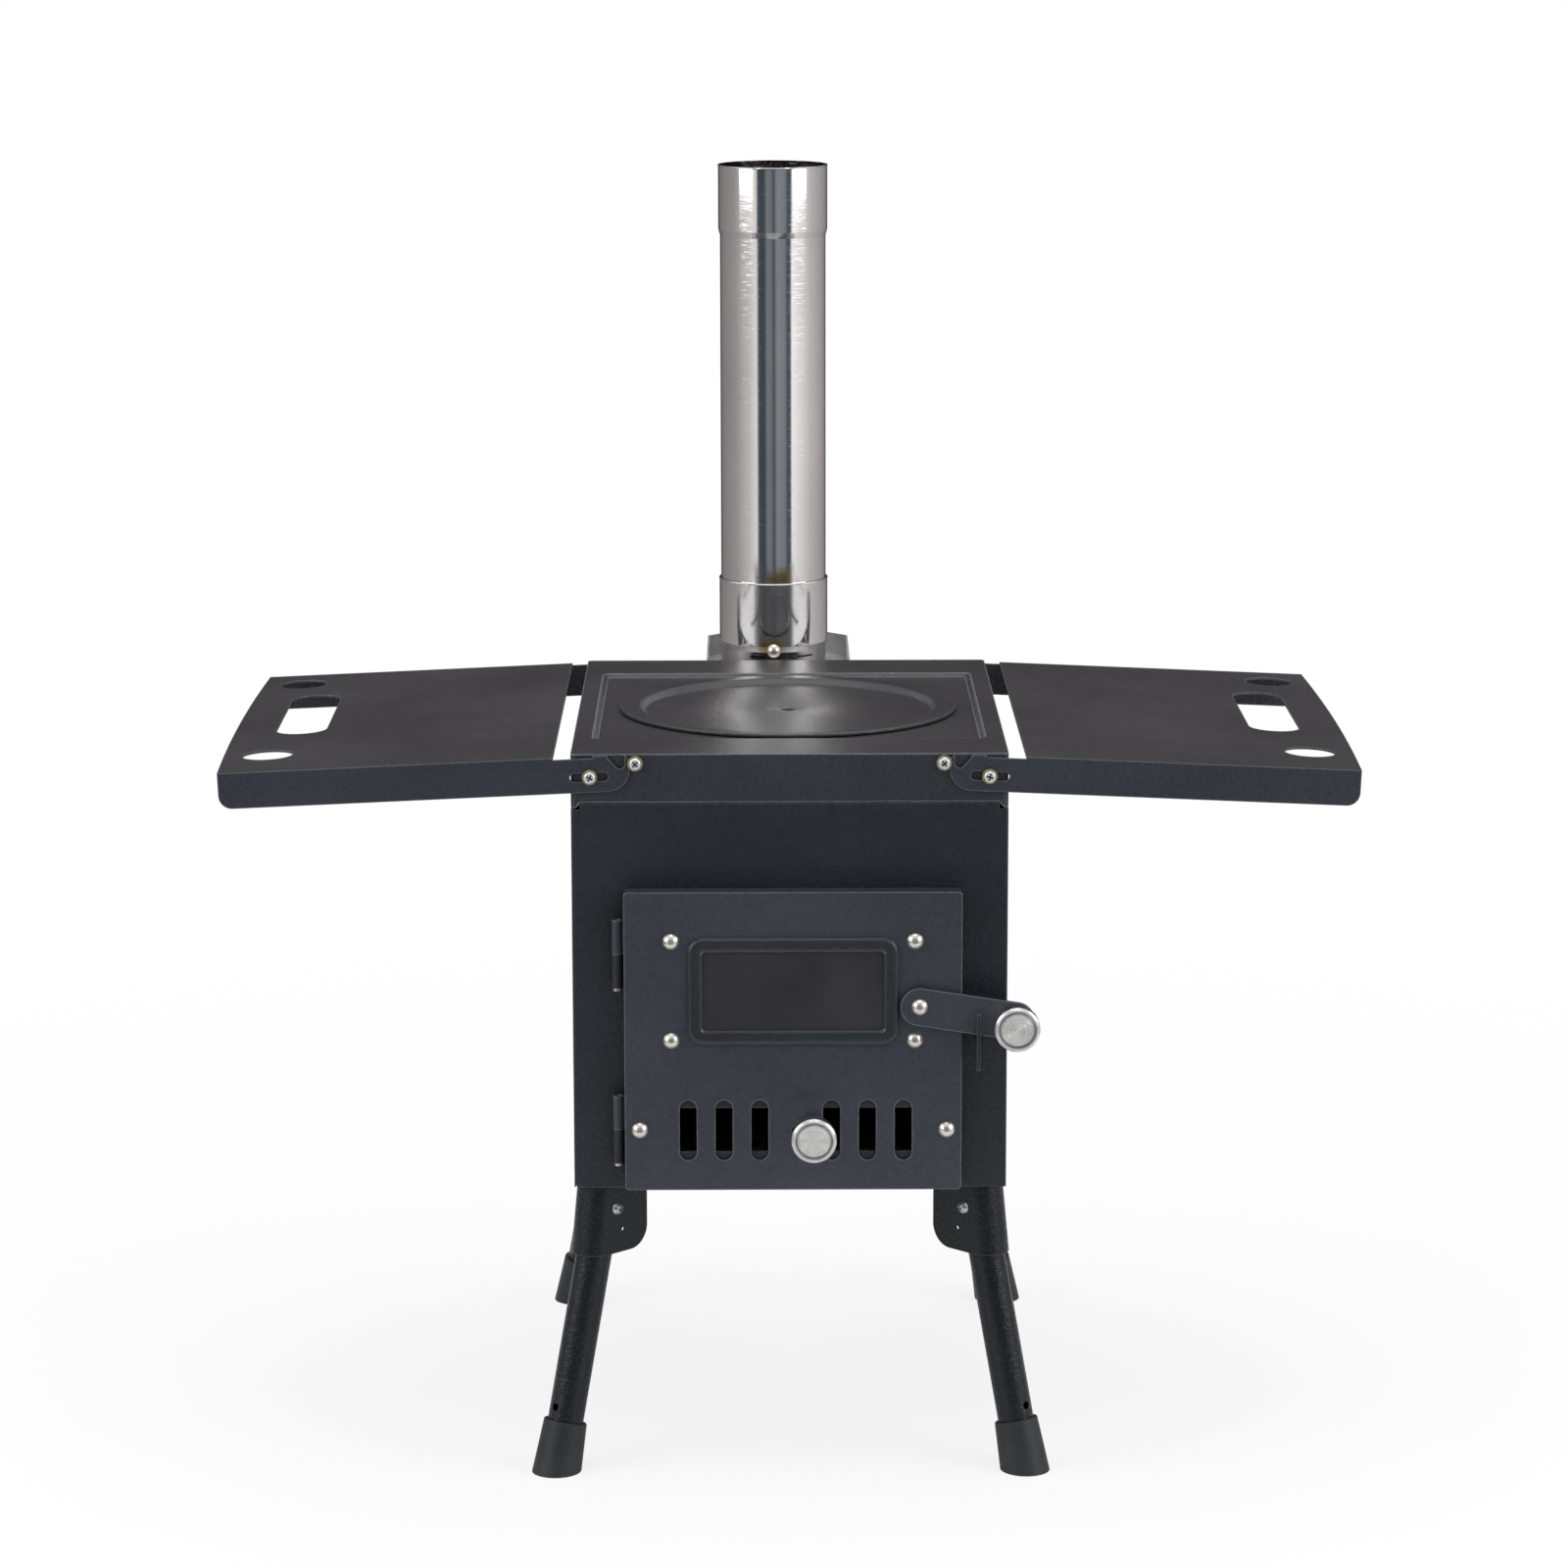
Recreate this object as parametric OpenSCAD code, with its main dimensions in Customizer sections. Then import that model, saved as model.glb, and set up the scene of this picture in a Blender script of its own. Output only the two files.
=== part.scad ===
// Tent wood stove: folded sheet firebox on four folding legs, with a glazed fire door, a round
// cooking lid, two folding side shelves and a plug-in chimney pipe.
// X is to the right, Y runs from the door to the flue, Z is up, and the floor is at zero.

/* [Firebox] */
// Width of the firebox
body_w = 228; // [200:1:280]
// Depth of the firebox, door side to flue side
body_d = 290; // [250:1:340]
// Height of the firebox, underside to cooking surface
body_h = 233; // [215:1:280]
// Thickness of the folded steel sheet
sheet = 1.2; // [0.8:0.1:2]
// Height of the skirt of the top cover
skirt_h = 25.5; // [20:0.5:35]

/* [Cooking top] */
// Diameter of the round lid over its flange
lid_d = 184; // [150:1:196]
// Depth of the recessed panel and of the dish in the lid
press_depth = 2; // [1:0.25:4]
// Margin of the recessed panel at the sides
panel_side_margin = 10; // [8:1:16]
// Room in the recessed panel in front of the lid and behind it
panel_room = 9; // [6:1:20]

/* [Door] */
// Width of the door
door_w = 176.5; // [160:0.5:190]
// Height of the door
door_h = 160; // [150:1:175]
// Depth of the door pan
door_depth = 11; // [10:0.5:16]
// Width of the window opening
window_w = 96.7; // [70:0.1:110]
// Height of the window opening
window_h = 43.8; // [30:0.1:60]
// Number of air slots on each side of the knob
slots_a_side = 3; // [1:1:3]
// Spacing of the air slots
slot_pitch = 18.8; // [14:0.1:20]
// Width of an air slot
slot_w = 9; // [6:0.1:10]
// Height of an air slot
slot_h = 32.6; // [20:0.1:36]
// Diameter of the turned knobs
knob_d = 23.5; // [18:0.5:28]

/* [Shelves] */
// Reach of a shelf from its slot to its outer corners
shelf_reach = 185.2; // [150:0.1:220]
// Height of the folded edge of a shelf
shelf_edge_h = 19; // [17:0.5:24]
// Droop of a shelf below level, in degrees
droop = 2.5; // [0:0.1:4]
// How far a shelf is drawn out from its hooked place
draw_out = 8; // [8:0.1:10]

/* [Chimney] */
// Outer diameter of the chimney pipe
pipe_d = 61; // [50:0.5:70]
// Wall of the chimney pipe
pipe_wall = 0.6; // [0.5:0.1:1]
// Height of the chimney pipe
pipe_h = 276.2; // [200:0.1:600]
// Length of a pipe socket
socket_l = 37; // [30:1:50]

/* [Legs] */
// Height of the firebox above the floor
leg_h = 152.5; // [140:0.5:200]
// Diameter of a leg tube
leg_d = 19; // [16:0.5:22]
// Outward lean of a leg from upright, in degrees
leg_lean = 14; // [8:0.5:18]

/* [Hidden] */
$fn = 48;
// Overrun of every cut
over = 1;
// Clearance between flat faces of pieces that move on each other
slip = 0.3;
// Radial clearance of a pin in its bore
pin_fit = 0.05;

// Levels and planes
top_z = leg_h + body_h;
skirt_z = top_z - skirt_h;
half_w = body_w / 2;

// Firebox sheets
joggle = sheet + pin_fit * 2;
flange_w = 12;
bottom_clip = 3;
mouth_w = 150;
mouth_h = 132;
mouth_lift = 15;
port_w = 62;
port_h = 52;

// Cover and lid
cap_r = 3;
lug_w = 4.5;
lug_drop = 3.5;
panel_r = 4;
lid_rim = 10.5;
lid_slope = 3.5;
lid_dish = 3;
lid_plate = 2;
lid_shadow = 0.4;
lid_seat = 9;
lid_hole_d = 7.5;
lid_x = 0;
lid_y = body_d / 2;
panel_top = top_z - press_depth;
lid_z = panel_top + lid_shadow;

// Grate
grate_plate = 2;
grate_lift = 14;
grate_gap = 6;
grate_bars = 11;
grate_margin = 16;
grate_rim = 10;
grate_foot = 8;

// Door
door_x = 1.5;
door_gap = 1;
door_lift = 2;
door_r = 2;
door_back = -door_gap;
door_face = door_back - door_depth;
door_z = leg_h + door_lift;
door_inner = door_face + sheet;
bead_w = 6.4;
bead_h = 2.2;
bead_r = 8;
bead_land = 1.4;
window_r = 3;
window_share = 0.67;
window_z = door_z + door_h * window_share;
glass_t = 3;
glass_lap = 3.2;
glass_play = 0.3;
lip = 1.6;
glass_front = door_face - bead_h + lip;
glass_back = glass_front + glass_t;
frame_lip = 2.4;
frame_flange = 20;
rivet_d = 8.7;
rivet_dome = 2.8;
rivet_shank = 3.6;
rivet_tail = 1.2;
window_rivet_x = 63.7;
window_rivet_z = 26.5;

// Air slider
vent_shift = 1.3;
vent_rise = 32.3;
vent_x = door_x + vent_shift;
vent_z = door_z + vent_rise;
guide_rivet_x = 80.5;
slider_t = 1.2;
slider_side = 5;
slider_open_h = 23.5;
slider_cover = 4;
slider_h = slot_h + 2 * slider_cover;
slider_travel = slot_pitch / 2;
guide_t = 1;
guide_rail = 6;
guide_end = 4.5;
guide_h = slider_h + 2 * guide_rail;
guide_w = 2 * (guide_rivet_x + guide_end);
guide_window_h = slot_h - over;
stem_r = 2;
stem_slot = 2.3;
knob_l = 15;
knob_stand = 4;
air_knob_stand = 8;
knob_neck_r = 8.4;
knob_rim = 2.6;
knob_groove = 0.9;
knob_chamfer = 1;
knob_waist_share = 0.25;
knob_flare_share = 0.45;
knob_full_share = 0.55;

// Latch
lever_t = 2.4;
lever_w = 20;
lever_len = 50.8;
lever_drop = 8.9;
lever_side = 66.1;
lever_below = 8;
lever_x = door_x + lever_side;
lever_z = window_z - lever_below;
lever_spacer = 1;
lever_spacer_r = 6;
lever_back = door_face - lever_spacer;
keeper_t = 2;
keeper_side = 96.7;
keeper_x = door_x + keeper_side;
keeper_rise = 13;
keeper_finger = 4;
keeper_play = 1.5;
keeper_point = 17.5;
keeper_root = 2.5;
keeper_heel = 11;

// Door hinges
barrel_r = 2.9;
barrel_h = 18;
hinge_pin_r = 1.5;
hinge_x = door_x - door_w / 2 - barrel_r - 2 * slip;
hinge_share = 0.45;
hinge_low = 13.5;
hinge_high = 108;
hinge_y = door_back - door_depth * hinge_share;
hinge_z = [door_z + hinge_low, door_z + hinge_high];
web_t = 1.6;

// Shelves
pivot_in = 10;
pivot_down = 11.8;
pivot_x = half_w - pivot_in;
pivot_z = top_z - pivot_down;
tab_gap = 0.4;
tab_len = 29.1;
tab_corner = 12;
tab_tip_r = 2.5;
tab_drop = 1.1;
sheet_rise = 10.9;
sheet_start = 10.6;
bow = 2.6;
bow_steps = 12;
edge_corner = 7;
slot_half = 2.3;
slot_run = 15.6;
latch_in = 24;
latch_up = 6.2;
notch_r = 2.5;
ramp_out = 6.2;
ramp_mid = 2.6;
shelf_hole_d = 27;
shelf_hole_in = 22;
hole_front = 47;
hole_back = 30;
grip_w = 27.5;
grip_in = 33.7;
grip_front = 105;
grip_back = 68.2;
screw_head_r = 3.05;
screw_head_h = 2.2;
screw_r = 2;
pivot_screw_r = 1.5;
bush_r = 2.05;
washer_r = 4;
washer_t = 0.8;
nut_flats = 6.4;
nut_t = 3;
bush_len = tab_gap + sheet + slip - 2 * pin_fit;

// Flue
flue_x = -4.5;
pipe_shift = 2.5;
pipe_x = flue_x - pipe_shift;
flue_w = 82.5;
flue_d = 95;
flue_h = 84;
flue_chamfer = 13;
flue_sheet = 1;
stub_back = 50;
flue_y = body_d + stub_back;
flue_rim = 1;
roof_drop = 12;
roof_z = top_z + flue_rim - roof_drop;
ear_w = 11;
pipe_r = pipe_d / 2;
pipe_play = 0.4;
stub_h = 12;
step_h = 3.5;
hem_r = 0.9;
stub_collar = 4;
stub_rivet_d = 7.8;
stub_rivet_h = 2.4;
stub_rivet_rise = 13.2;
stub_rivet_z = roof_z + stub_rivet_rise;
slit_h = 1;
slit_rise = 8.7;
slit_z = roof_z + slit_rise;
slit_angle = 20;
slit_start = 27;
flue_screw_shares = [0.2, 0.8];
socket_r = pipe_r + pipe_play + pipe_wall;
pipe_seat_z = roof_z + stub_h + step_h;

// Legs
bolt_down = 13;
bolt_in = 14.2;
bolt_z = leg_h - bolt_down;
bolt_r = 2.5;
bolt_head_r = 3.6;
bolt_head_h = 2.6;
bolt_key_r = 1.6;
bolt_nut_flats = 8;
cheek_t = 1.5;
leg_play = 0.7;
cheek_gap = leg_d / 2 + leg_play;
cheek_in = 21.6;
cheek_drop = 37.3;
cheek_corner = 12;
tilt_play = 0.6;
sleeve_tilt = 7.4;
bracket_low = bolt_down - cheek_drop;
bracket_s = -bracket_low * tan(leg_lean) + tilt_play;
leg_wall = 1.2;
leg_rise = 4.5;
foot_r = 12.9;
foot_top_r = 11;
foot_bead = 0.5;
foot_h = 27;
foot_base = 5;
leg_hole_d = 4.5;
leg_hole_z = 33;
spare_hole_r = 1.2;
spare_share = 0.2;

// The origin is under the middle of the whole reach
reach_front = min(lever_back - lever_t - slip - knob_stand, door_face - air_knob_stand) - knob_l;
reach_back = body_d + flue_d;
mid_y = (reach_front + reach_back) / 2;

paint = [0.15, 0.17, 0.19];
door_paint = [0.23, 0.25, 0.28];
tops_paint = [0.24, 0.24, 0.25];
stainless = [0.74, 0.74, 0.75];
nickel = [0.8, 0.78, 0.75];
zinc = [0.82, 0.84, 0.85];
brass_zinc = [0.8, 0.72, 0.45];
rubber = [0.13, 0.13, 0.14];
glass_tint = [0.17, 0.16, 0.17];
burnt_steel = [0.3, 0.29, 0.28];

// Moves the stove from its front plane to the origin under its middle
module place() {
    translate([0, -mid_y, 0]) children();
}

// Rectangle with round corners, built so that its arcs stay true
module rounded(w, h, r) {
    square([w - 2 * r, h], center = true);
    square([w, h - 2 * r], center = true);
    for (x = [-1, 1], y = [-1, 1])
        translate([x * (w / 2 - r), y * (h / 2 - r)]) circle(r = r);
}

// Slot with round ends, upright
module obround(w, h) {
    square([w, h - w], center = true);
    for (y = [-1, 1])
        translate([0, y * (h - w) / 2]) circle(d = w);
}

// Stands a flat outline up in the XZ plane, its back at y and its face t in front
module upright(y, t) {
    translate([0, y, 0]) rotate([90, 0, 0]) linear_extrude(t) children();
}

// Round bar along Y, from y towards the front
module bar_y(x, y, z, len, r) {
    translate([x, y, z]) rotate([90, 0, 0]) cylinder(h = len, r = r);
}

// The same thing at the front and at the back of the firebox
module front_and_back() {
    children();
    translate([0, body_d, 0]) mirror([0, 1, 0]) children();
}

module left_and_right() {
    children();
    mirror([1, 0, 0]) children();
}

// Domed rivet head with its flat at y, facing the front
module dome(x, y, z, d, h) {
    r = (d * d / 4 + h * h) / (2 * h);
    translate([x, y, z]) rotate([90, 0, 0])
        intersection() {
            translate([0, 0, h - r]) sphere(r = r);
            cylinder(h = h, d = d);
        }
}

// Rectangular tube of sheet, from z up to z + h
module sheet_tube(w, d, z, h, t, r) {
    translate([0, body_d / 2, z]) linear_extrude(h)
        difference() {
            rounded(w, d, r);
            rounded(w - 2 * t, d - 2 * t, r / 2);
        }
}

// Notches in the corners of the firebox, for the lugs of the cover
module lug_notches() {
    w = 2 * (lug_w + slip);
    intersection() {
        sheet_tube(body_w + 2 * over, body_d + 2 * over, skirt_z - lug_drop - slip,
            lug_drop + over, joggle + over, 2 * sheet);
        for (x = [-1, 1], y = [0, 1])
            translate([x * half_w - w / 2, y * body_d - w / 2, skirt_z - lug_drop - over])
                cube([w, w, lug_drop + 2 * over]);
    }
}

// Front and sides of the firebox, folded from one sheet and joggled under the cover
module firebox_wrap() {
    shoulder = skirt_z - slip * 2;
    color(paint) place() difference() {
        union() {
            sheet_tube(body_w, body_d, leg_h, shoulder - leg_h, sheet, sheet);
            sheet_tube(body_w, body_d, shoulder - sheet, sheet, sheet + joggle, sheet);
            sheet_tube(body_w - 2 * joggle, body_d - 2 * joggle, shoulder,
                panel_top - sheet - shoulder, sheet, sheet);
        }
        translate([-half_w - over, body_d - joggle - sheet - pin_fit, leg_h - over])
            cube([body_w + 2 * over, joggle + sheet + pin_fit + over, body_h + 2 * over]);
        translate([door_x - mouth_w / 2, -over, leg_h + mouth_lift])
            cube([mouth_w, sheet + 2 * over, mouth_h]);
        for (x = [-1, 1])
            translate([x * half_w, -over, leg_h]) rotate([0, 45, 0])
                cube([bottom_clip, body_d, bottom_clip]);
        lug_notches();
        front_and_back() shelf_screw_places()
            bar_y(0, body_d / 4, 0, body_d / 4 + over, screw_r + pin_fit);
    }
}

// Rear panel with side flanges and the port into the flue box
module firebox_rear() {
    inner_w = body_w - 2 * sheet - 2 * pin_fit;
    top = panel_top - sheet;
    shoulder = skirt_z - slip * 2;
    color(paint) place() difference() {
        union() {
            translate([-half_w, body_d - sheet, leg_h])
                cube([body_w, sheet, shoulder - leg_h]);
            translate([-half_w + joggle + sheet, body_d - sheet - joggle, shoulder - sheet])
                cube([body_w - 2 * joggle - 2 * sheet, sheet, top - shoulder + sheet]);
            translate([-half_w + joggle, body_d - sheet - joggle, shoulder - sheet])
                cube([body_w - 2 * joggle, sheet + joggle, sheet]);
            for (x = [-inner_w / 2, inner_w / 2 - sheet])
                translate([x, body_d - flange_w, leg_h + sheet + pin_fit])
                    cube([sheet, flange_w, shoulder - leg_h - 3 * sheet]);
        }
        flue_port();
        lug_notches();
        front_and_back() shelf_screw_places()
            bar_y(0, body_d / 4, 0, body_d / 4 + over, screw_r + pin_fit);
        flue_screw_places()
            bar_y(0, body_d + over, 0, body_d / 4, pivot_screw_r + pin_fit);
    }
}

// Opening from the firebox into the flue box
module flue_port() {
    translate([flue_x - port_w / 2, body_d - flange_w - over, skirt_z - 2 * sheet - port_h])
        cube([port_w, flange_w + 2 * over, port_h]);
}

// Floor pan with a turned-up edge inside the walls
module firebox_floor() {
    w = body_w - 2 * sheet - 2 * pin_fit;
    d = body_d - 2 * sheet - 2 * pin_fit;
    color(paint) place() difference() {
        translate([-w / 2, sheet + pin_fit, leg_h]) cube([w, d, flange_w]);
        translate([-w / 2 + sheet, 2 * sheet + pin_fit, leg_h + sheet])
            cube([w - 2 * sheet, d - 2 * sheet, flange_w]);
        translate([-w / 2 - over, body_d - flange_w - sheet, leg_h + sheet])
            cube([w + 2 * over, flange_w + sheet, flange_w]);
    }
}

// Fire grate that stands on the floor pan on four folded feet
module fire_grate() {
    w = body_w - 2 * grate_margin;
    d = body_d - 2 * grate_margin;
    z = leg_h + sheet;
    pitch = (d - 2 * grate_rim) / grate_bars;
    color(burnt_steel) place() {
        difference() {
            translate([-w / 2, grate_margin, z + grate_lift]) cube([w, d, grate_plate]);
            for (n = [0 : grate_bars - 1], x = [-1, 1])
                translate([x * w / 4, grate_margin + grate_rim + (n + 0.5) * pitch,
                    z + grate_lift - over]) linear_extrude(grate_plate + 2 * over)
                    rotate(90) obround(grate_gap, w / 2 - grate_rim);
        }
        for (x = [-w / 2, w / 2 - grate_plate], y = [0, d - grate_foot])
            translate([x, grate_margin + y, z]) cube([grate_plate, grate_foot, grate_lift]);
    }
}

// Top cover: skirt with corner lugs, and a plate with a recessed panel round the lid
module top_cap() {
    panel_w = body_w - 2 * panel_side_margin;
    panel_d = lid_d + 2 * panel_room;
    lid_hole_r = lid_d / 2 - lid_seat;
    color(tops_paint) place() difference() {
        union() {
            sheet_tube(body_w, body_d, skirt_z, skirt_h - sheet, sheet, cap_r);
            translate([0, body_d / 2, top_z - sheet]) linear_extrude(sheet)
                rounded(body_w, body_d, cap_r);
            translate([0, body_d / 2, panel_top - sheet])
                linear_extrude(press_depth + sheet)
                rounded(panel_w + 2 * sheet, panel_d + 2 * sheet, panel_r + sheet);
            intersection() {
                sheet_tube(body_w, body_d, skirt_z - lug_drop, lug_drop + sheet, sheet, cap_r);
                for (x = [-1, 1], y = [0, 1])
                    translate([x * half_w, y * body_d, skirt_z + lug_w - lug_drop])
                        sphere(r = lug_w);
            }
        }
        translate([0, body_d / 2, panel_top]) linear_extrude(press_depth + over)
            rounded(panel_w, panel_d, panel_r);
        translate([lid_x, lid_y, panel_top - sheet - over])
            cylinder(h = press_depth + 2 * over + sheet, r = lid_hole_r, $fn = 96);
        front_and_back() shelf_screw_places()
            bar_y(0, body_d / 4, 0, body_d / 4 + over, screw_r + pin_fit);
    }
}

// Pressed lid: flat flange, sloped wall and sunk middle with a lifting hole
module cooking_lid() {
    r = lid_d / 2;
    color(tops_paint) place() translate([lid_x, lid_y, lid_z])
        rotate_extrude($fn = 96) polygon([
            [lid_hole_d / 2, -lid_dish],
            [lid_hole_d / 2, -lid_dish + lid_plate],
            [r - lid_rim - lid_slope, -lid_dish + lid_plate],
            [r - lid_rim, lid_plate],
            [r - sheet / 2, lid_plate],
            [r, lid_plate - sheet / 2],
            [r, 0],
            [r - lid_rim, 0],
            [r - lid_rim - lid_slope, -lid_dish]]);
}

// Plan of the flue box, drawn in by t
module flue_plan(t) {
    w = flue_w - 2 * t;
    d = flue_d - t;
    c = flue_chamfer - t * (2 - sqrt(2));
    translate([flue_x, body_d]) polygon([
        [-w / 2, 0], [w / 2, 0], [w / 2, d - c], [w / 2 - c, d], [-w / 2 + c, d],
        [-w / 2, d - c]]);
}

module flue_screw_places() {
    for (x = [-1, 1], z = flue_screw_shares)
        translate([flue_x + x * (flue_w + ear_w) / 2, 0, roof_z - flue_h + z * flue_h])
            children();
}

// Flue box: stainless walls and bottom, its rim standing round the stub
module flue_box() {
    color(stainless) place() difference() {
        union() {
            translate([0, 0, roof_z - flue_h]) linear_extrude(flue_h + roof_drop)
                difference() {
                    flue_plan(0);
                    flue_plan(flue_sheet);
                }
            translate([0, 0, roof_z - flue_h]) linear_extrude(flue_sheet) flue_plan(0);
            translate([flue_x - flue_w / 2 - ear_w, body_d, roof_z - flue_h])
                cube([flue_w + 2 * ear_w, flue_sheet, flue_h]);
        }
        translate([flue_x - flue_w / 2 + flue_sheet, body_d - over, roof_z - flue_h + flue_sheet])
            cube([flue_w - 2 * flue_sheet, flue_sheet + 2 * over, flue_h + roof_drop]);
        flue_screw_places()
            bar_y(0, body_d + flue_sheet + over, 0, flue_sheet + 2 * over,
                pivot_screw_r + pin_fit);
    }
}

// Roof of the flue box, sunk below the rim, with the hole of the stub
module flue_box_roof() {
    color(stainless) place() difference() {
        translate([0, 0, roof_z - flue_sheet]) linear_extrude(flue_sheet)
            flue_plan(flue_sheet + pin_fit);
        translate([pipe_x, flue_y, roof_z - flue_sheet - over])
            cylinder(h = flue_sheet + 2 * over, r = pipe_r - pipe_wall, $fn = 96);
    }
}

// Screws that hold the ears of the flue box to the rear panel
module flue_box_screws() {
    color(zinc) place() flue_screw_places() {
        bar_y(0, body_d + flue_sheet, 0, flue_sheet + 3 * sheet, pivot_screw_r);
        translate([0, 2 * (body_d + flue_sheet), 0]) mirror([0, 1, 0])
            dome(0, body_d + flue_sheet, 0, 2 * screw_head_r, screw_head_h);
    }
}

// Half section of a pipe that steps out into a socket above z, with a rolled lip
function pipe_section(z0, z1, z2, z3) = [
    [pipe_r - pipe_wall, z0], [pipe_r, z0], [pipe_r, z1], [socket_r, z2],
    [socket_r, z3 - hem_r], [socket_r + hem_r / 3, z3 - hem_r / 2], [socket_r, z3],
    [socket_r - pipe_wall, z3], [socket_r - pipe_wall, z2], [pipe_r - pipe_wall, z1]];

// Flue stub: collar on the roof, short tube, and the socket that takes the pipe
module flue_stub() {
    color(stainless) place() translate([pipe_x, flue_y, 0]) difference() {
        rotate_extrude($fn = 96) {
            polygon(pipe_section(roof_z, roof_z + stub_h, pipe_seat_z, pipe_seat_z + socket_l));
            translate([pipe_r - pipe_wall, roof_z]) square([stub_collar, flue_sheet]);
        }
        for (x = [-1, 1])
            rotate(x * slit_start - 90) translate([0, 0, slit_z])
                rotate_extrude(angle = slit_angle, $fn = 96)
                translate([pipe_r - 2 * pipe_wall, 0]) square([3 * pipe_wall, slit_h]);
        translate([0, 0, stub_rivet_z]) rotate([90, 0, 0])
            cylinder(h = pipe_r + over, r = rivet_shank / 2 + pin_fit);
    }
}

// Rivet through the front of the stub
module flue_stub_rivet() {
    tail_y = -pipe_r + 2 * pipe_wall;
    color(nickel) place() translate([pipe_x, flue_y, 0]) {
        bar_y(0, tail_y, stub_rivet_z, tail_y + socket_r + slip, rivet_shank / 2);
        dome(0, -socket_r - slip, stub_rivet_z, stub_rivet_d, stub_rivet_h);
    }
}

// Chimney pipe: plain lower end in the stub, socket at the top
module chimney_pipe() {
    z0 = pipe_seat_z + slip;
    z3 = z0 + pipe_h;
    color(stainless) place() translate([pipe_x, flue_y, 0])
        rotate_extrude($fn = 96)
        polygon(pipe_section(z0, z3 - socket_l - step_h, z3 - socket_l, z3));
}

module window_rivet_places() {
    for (x = [-1, 1], z = [-1, 1])
        translate([door_x + x * window_rivet_x, 0, window_z + z * window_rivet_z]) children();
}

module guide_rivet_places() {
    for (x = [-1, 1])
        translate([door_x + x * guide_rivet_x, 0, vent_z]) children();
}

// Places of the air slots; the middle place is left to the knob
module vent_places() {
    for (n = [1 : slots_a_side], x = [-1, 1])
        translate([vent_x + x * n * slot_pitch, vent_z]) children();
}

// Door pan with the pressed window bead, the window, the air slots and the stem slot
module door_panel() {
    color(door_paint) place() difference() {
        union() {
            translate([door_x, 0, door_z + door_h / 2]) upright(door_back, door_depth)
                rounded(door_w, door_h, door_r);
            translate([door_x, 0, window_z]) {
                upright(door_face, bead_h - bead_land / 2)
                    rounded(window_w + 2 * bead_w, window_h + 2 * bead_w, bead_r);
                upright(door_face, bead_h)
                    rounded(window_w + 2 * (bead_w - bead_land),
                        window_h + 2 * (bead_w - bead_land), bead_r - bead_land);
            }
        }
        translate([door_x, 0, door_z + door_h / 2])
            upright(door_back + over, door_depth - sheet + over)
            rounded(door_w - 2 * sheet, door_h - 2 * sheet, door_r - sheet / 2);
        translate([door_x, 0, window_z]) {
            upright(door_back, door_depth + 2 * bead_h) rounded(window_w, window_h, window_r);
            upright(door_back, door_back - glass_front)
                rounded(window_w + 2 * glass_lap, window_h + 2 * glass_lap, window_r);
        }
        upright(door_back, door_depth + over) vent_places() obround(slot_w, slot_h);
        translate([vent_x + slider_travel / 2, 0, vent_z]) rotate([0, 90, 0])
            upright(door_back, door_depth + over) obround(2 * stem_slot, 2 * stem_slot + slider_travel);
        window_rivet_places()
            bar_y(0, door_back, 0, door_depth + over, rivet_shank / 2 + pin_fit);
        guide_rivet_places()
            bar_y(0, door_back, 0, door_depth + over, rivet_shank / 2 + pin_fit);
        bar_y(lever_x, door_back, lever_z, door_depth + over, rivet_shank / 2 + pin_fit);
    }
}

module window_glass() {
    color(glass_tint) place() translate([door_x, 0, window_z])
        upright(glass_back, glass_t)
        rounded(window_w + 2 * glass_lap - 2 * glass_play,
            window_h + 2 * glass_lap - 2 * glass_play, window_r - glass_play);
}

// Joggled frame behind the glass, riveted to the door
module window_retainer() {
    w = window_w + 2 * glass_lap;
    h = window_h + 2 * glass_lap;
    color(door_paint) place() difference() {
        translate([door_x, 0, window_z]) {
            upright(door_inner + sheet, sheet)
                rounded(w + 2 * frame_flange, h + 2 * frame_flange / 2, bead_r);
            upright(glass_back + sheet, glass_back + sheet - door_inner)
                rounded(w + 2 * sheet, h + 2 * sheet, window_r + sheet);
        }
        translate([door_x, 0, window_z]) {
            upright(glass_back, glass_back - door_inner + over) rounded(w, h, window_r);
            upright(glass_back + 2 * sheet, 3 * sheet)
                rounded(w - 2 * frame_lip, h - 2 * frame_lip, window_r);
        }
        window_rivet_places()
            bar_y(0, door_back, 0, door_depth, rivet_shank / 2 + pin_fit);
        bar_y(lever_x, door_back, lever_z, door_depth, rivet_shank / 2 + pin_fit);
    }
}

// One rivet through the door: domed head, shank and flat tail behind a sheet pack
module door_rivet(pack) {
    bar_y(0, door_inner + pack, 0, door_inner + pack - door_face, rivet_shank / 2);
    bar_y(0, door_inner + pack + rivet_tail, 0, rivet_tail, rivet_shank);
    dome(0, door_face, 0, rivet_d, rivet_dome);
}

module window_rivets() {
    color(nickel) place() window_rivet_places() door_rivet(sheet);
}

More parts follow.
